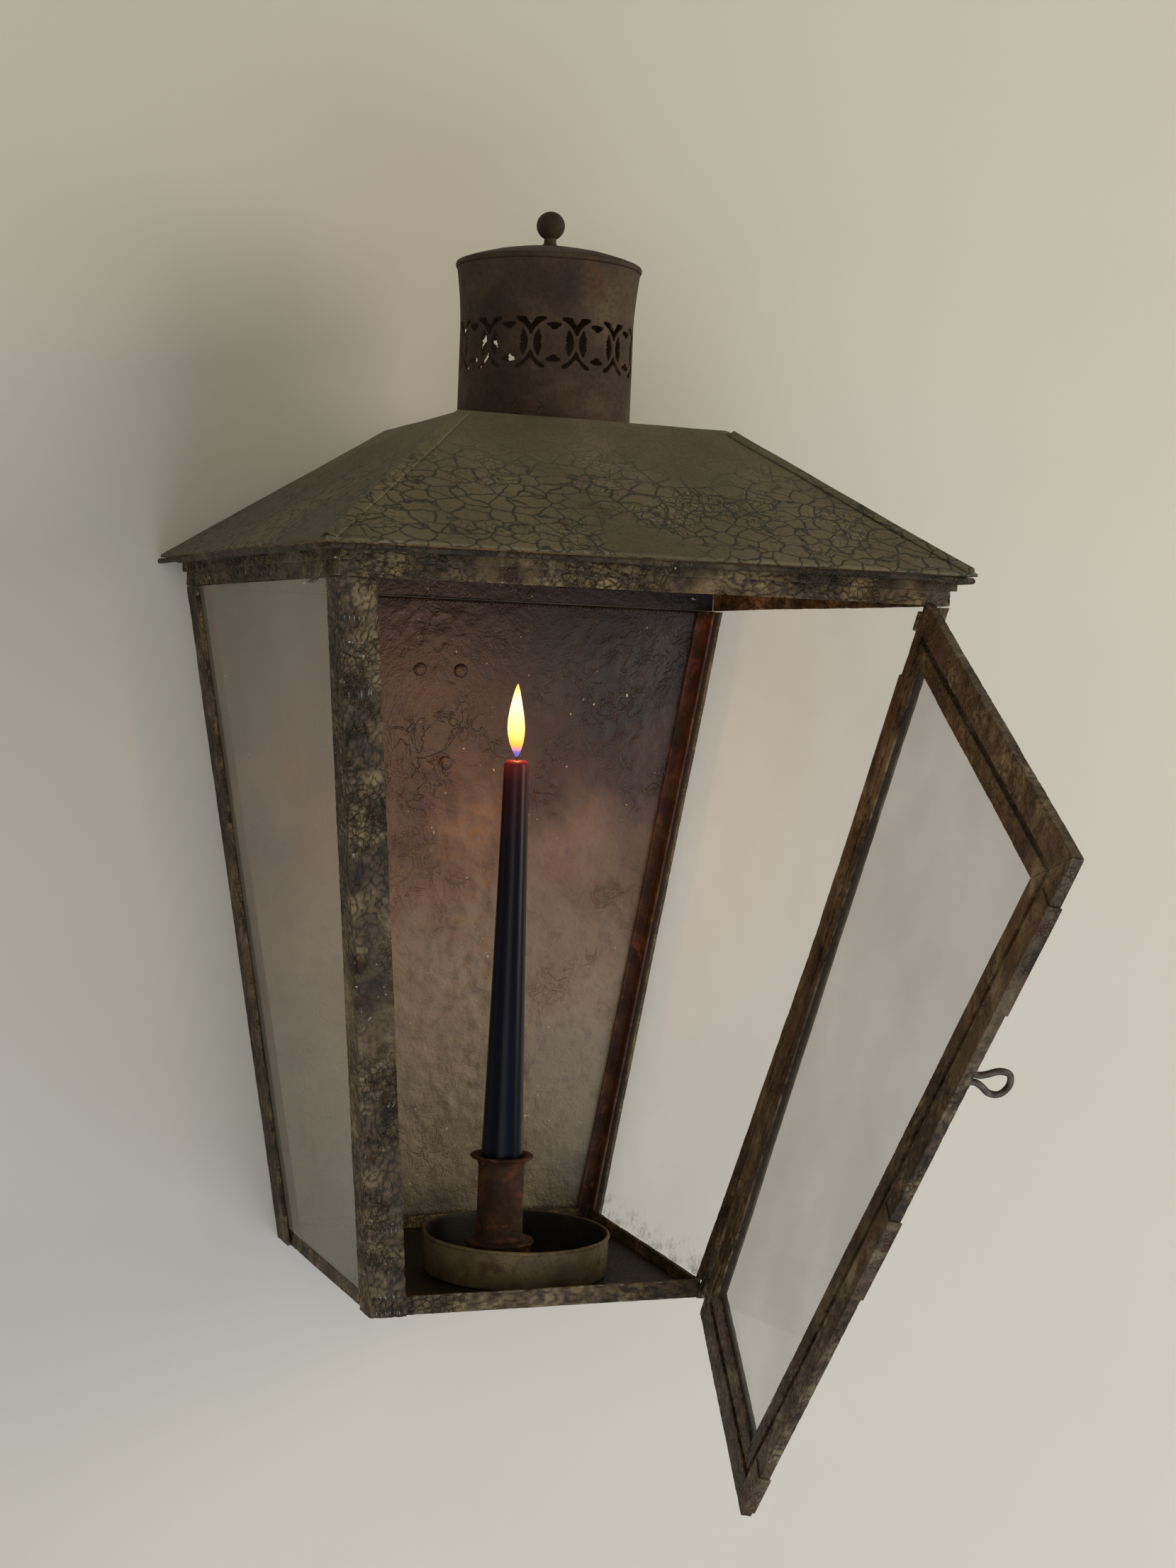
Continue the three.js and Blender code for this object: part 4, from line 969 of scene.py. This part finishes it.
def makeFlamePiece(centre):
    foot = candleHigh.z + flameShape["gap"]
    top = foot + flameShape["tall"]
    outline = [(0, 0), (0.22, 0.03), (0.5, 0.1), (0.78, 0.2), (0.95, 0.31), (1.0, 0.4), (0.93, 0.52),
               (0.76, 0.65), (0.54, 0.78), (0.33, 0.89), (0.15, 0.96), (0, 1)]
    profile = [(flameShape["radius"] * r, foot + (top - foot) * z) for r, z in outline]
    bm = turnedShape(profile, flameShape["sides"], centre)
    for vertex in bm.verts:
        rise = (vertex.co.z - foot) / (top - foot)
        vertex.co.x -= flameShape["lean"] * math.sin(rise * 2.4)
    longEdges = [edge for edge in bm.edges if edge.calc_length() > 3 * mm]
    bmesh.ops.subdivide_edges(bm, edges=longEdges, cuts=1, use_grid_fill=True)
    flame = finishPiece("candle_flame", bm, makeFlame(foot, top), "taper", 80)
    flame.visible_shadow = False
    return Vector((centre.x, centre.y, (foot + top) / 2))


candleCentre = Vector(middleOf(candleLow, candleHigh))
makeTaper(candleCentre)
makeWickPiece(candleCentre)
flameHeart = makeFlamePiece(candleCentre)
print("candle made")


def makePlainMaterial(name, tones, roughness):
    material, tree, shader = startMaterial(name)
    coords = addNode(tree, "ShaderNodeTexCoord").outputs["Object"]
    cloud = speckle(tree, coords, 700, 4)
    tree.links.new(addRamp(tree, cloud, tones), shader.inputs["Base Color"])
    shader.inputs["Roughness"].default_value = roughness
    return material


def makeSheet(name, corners, material):
    mesh = bpy.data.meshes.new(name)
    mesh.from_pydata(corners, [], [(0, 1, 2, 3)])
    mesh.materials.append(material)
    sheet = bpy.data.objects.new(name, mesh)
    bpy.context.scene.collection.objects.link(sheet)
    sheet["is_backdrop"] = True


wallPaint = makePlainMaterial("paleWallPaint", [(0.35, "cdc9bb"), (0.65, "d3cfc2")], 0.85)
floorPaint = makePlainMaterial("paleFloor", [(0.35, "d6d7d6"), (0.65, "dbdcdb")], 0.8)
room = {"half": 4, "front": -6, "floor": -1.5, "top": 3, "wall": 0.5 * mm}
half, front, floor, top, wall = room.values()
makeSheet("wallBackdrop", [(-half, wall, floor), (half, wall, floor), (half, wall, top), (-half, wall, top)],
          wallPaint)
makeSheet("floorBackdrop",
          [(-half, front, floor), (half, front, floor), (half, wall, floor), (-half, wall, floor)], floorPaint)


def aimAt(obj, target):
    obj.rotation_mode = "QUATERNION"
    obj.rotation_quaternion = (Vector(target) - obj.location).to_track_quat("-Z", "Y")


def addArea(name, place, target, size, power, hexText):
    lamp = bpy.data.lights.new(name, "AREA")
    lamp.size = size
    lamp.energy = power
    lamp.color = toLinear(hexText)[:3]
    obj = bpy.data.objects.new(name, lamp)
    obj.location = place
    bpy.context.scene.collection.objects.link(obj)
    aimAt(obj, target)


lights = {  # place, target, size, watts, colour
    "windowLight": ((2.3, -1.9, 0.35), (0, -0.1, 0), 1.5, 45, "fff4e2"),
    "roomFill": ((-1.7, -2.8, 0.3), (-0.5, 0, -0.1), 2.4, 24, "fdf5e6"),
    "floorBounce": ((0.3, -1.2, -1.45), (0, 0, -0.5), 2.0, 26, "c6d8ff"),
}
for name, settings in lights.items():
    addArea(name, *settings)

glow = {"watts": 0.3, "colour": (1.0, 0.46, 0.17), "radius": 6 * mm}
candleGlow = bpy.data.lights.new("candleGlow", "POINT")
candleGlow.energy = glow["watts"]
candleGlow.color = glow["colour"]
candleGlow.shadow_soft_size = glow["radius"]
glowObject = bpy.data.objects.new("candleGlow", candleGlow)
glowObject.location = flameHeart
bpy.context.scene.collection.objects.link(glowObject)

air = {"colour": "e9e7e0", "strength": 0.23}
world = bpy.context.scene.world or bpy.data.worlds.new("studio")
bpy.context.scene.world = world
world.use_nodes = True
world.node_tree.nodes["Background"].inputs["Color"].default_value = toLinear(air["colour"])
world.node_tree.nodes["Background"].inputs["Strength"].default_value = air["strength"]

# Place in millimetres, angles in degrees, lens in millimetres on a 36 mm frame.
eye = {"place": (-425.25, -1302.41, 24.33), "yaw": 21.22, "pitch": -2.82, "roll": 2.22, "lens": 55.78}


def makeCamera():
    data = bpy.data.cameras.new("camera")
    data.sensor_width = 36
    data.lens = eye["lens"]
    data.clip_start = 0.05
    camera = bpy.data.objects.new("camera", data)
    yaw, pitch, roll = (math.radians(eye[key]) for key in ("yaw", "pitch", "roll"))
    ahead = Vector((math.sin(yaw) * math.cos(pitch), math.cos(yaw) * math.cos(pitch), math.sin(pitch)))
    right = Vector((math.cos(yaw), -math.sin(yaw), 0))
    up = right.cross(ahead)
    tiltedRight = right * math.cos(roll) + up * math.sin(roll)
    tiltedUp = up * math.cos(roll) - right * math.sin(roll)
    turn = Matrix((tiltedRight, tiltedUp, -ahead)).transposed()
    camera.matrix_world = Matrix.Translation(Vector(eye["place"]) * mm) @ turn.to_4x4()
    bpy.context.scene.collection.objects.link(camera)
    bpy.context.scene.camera = camera


makeCamera()
bpy.context.scene.view_settings.view_transform = "Standard"

bpy.context.view_layer.update()
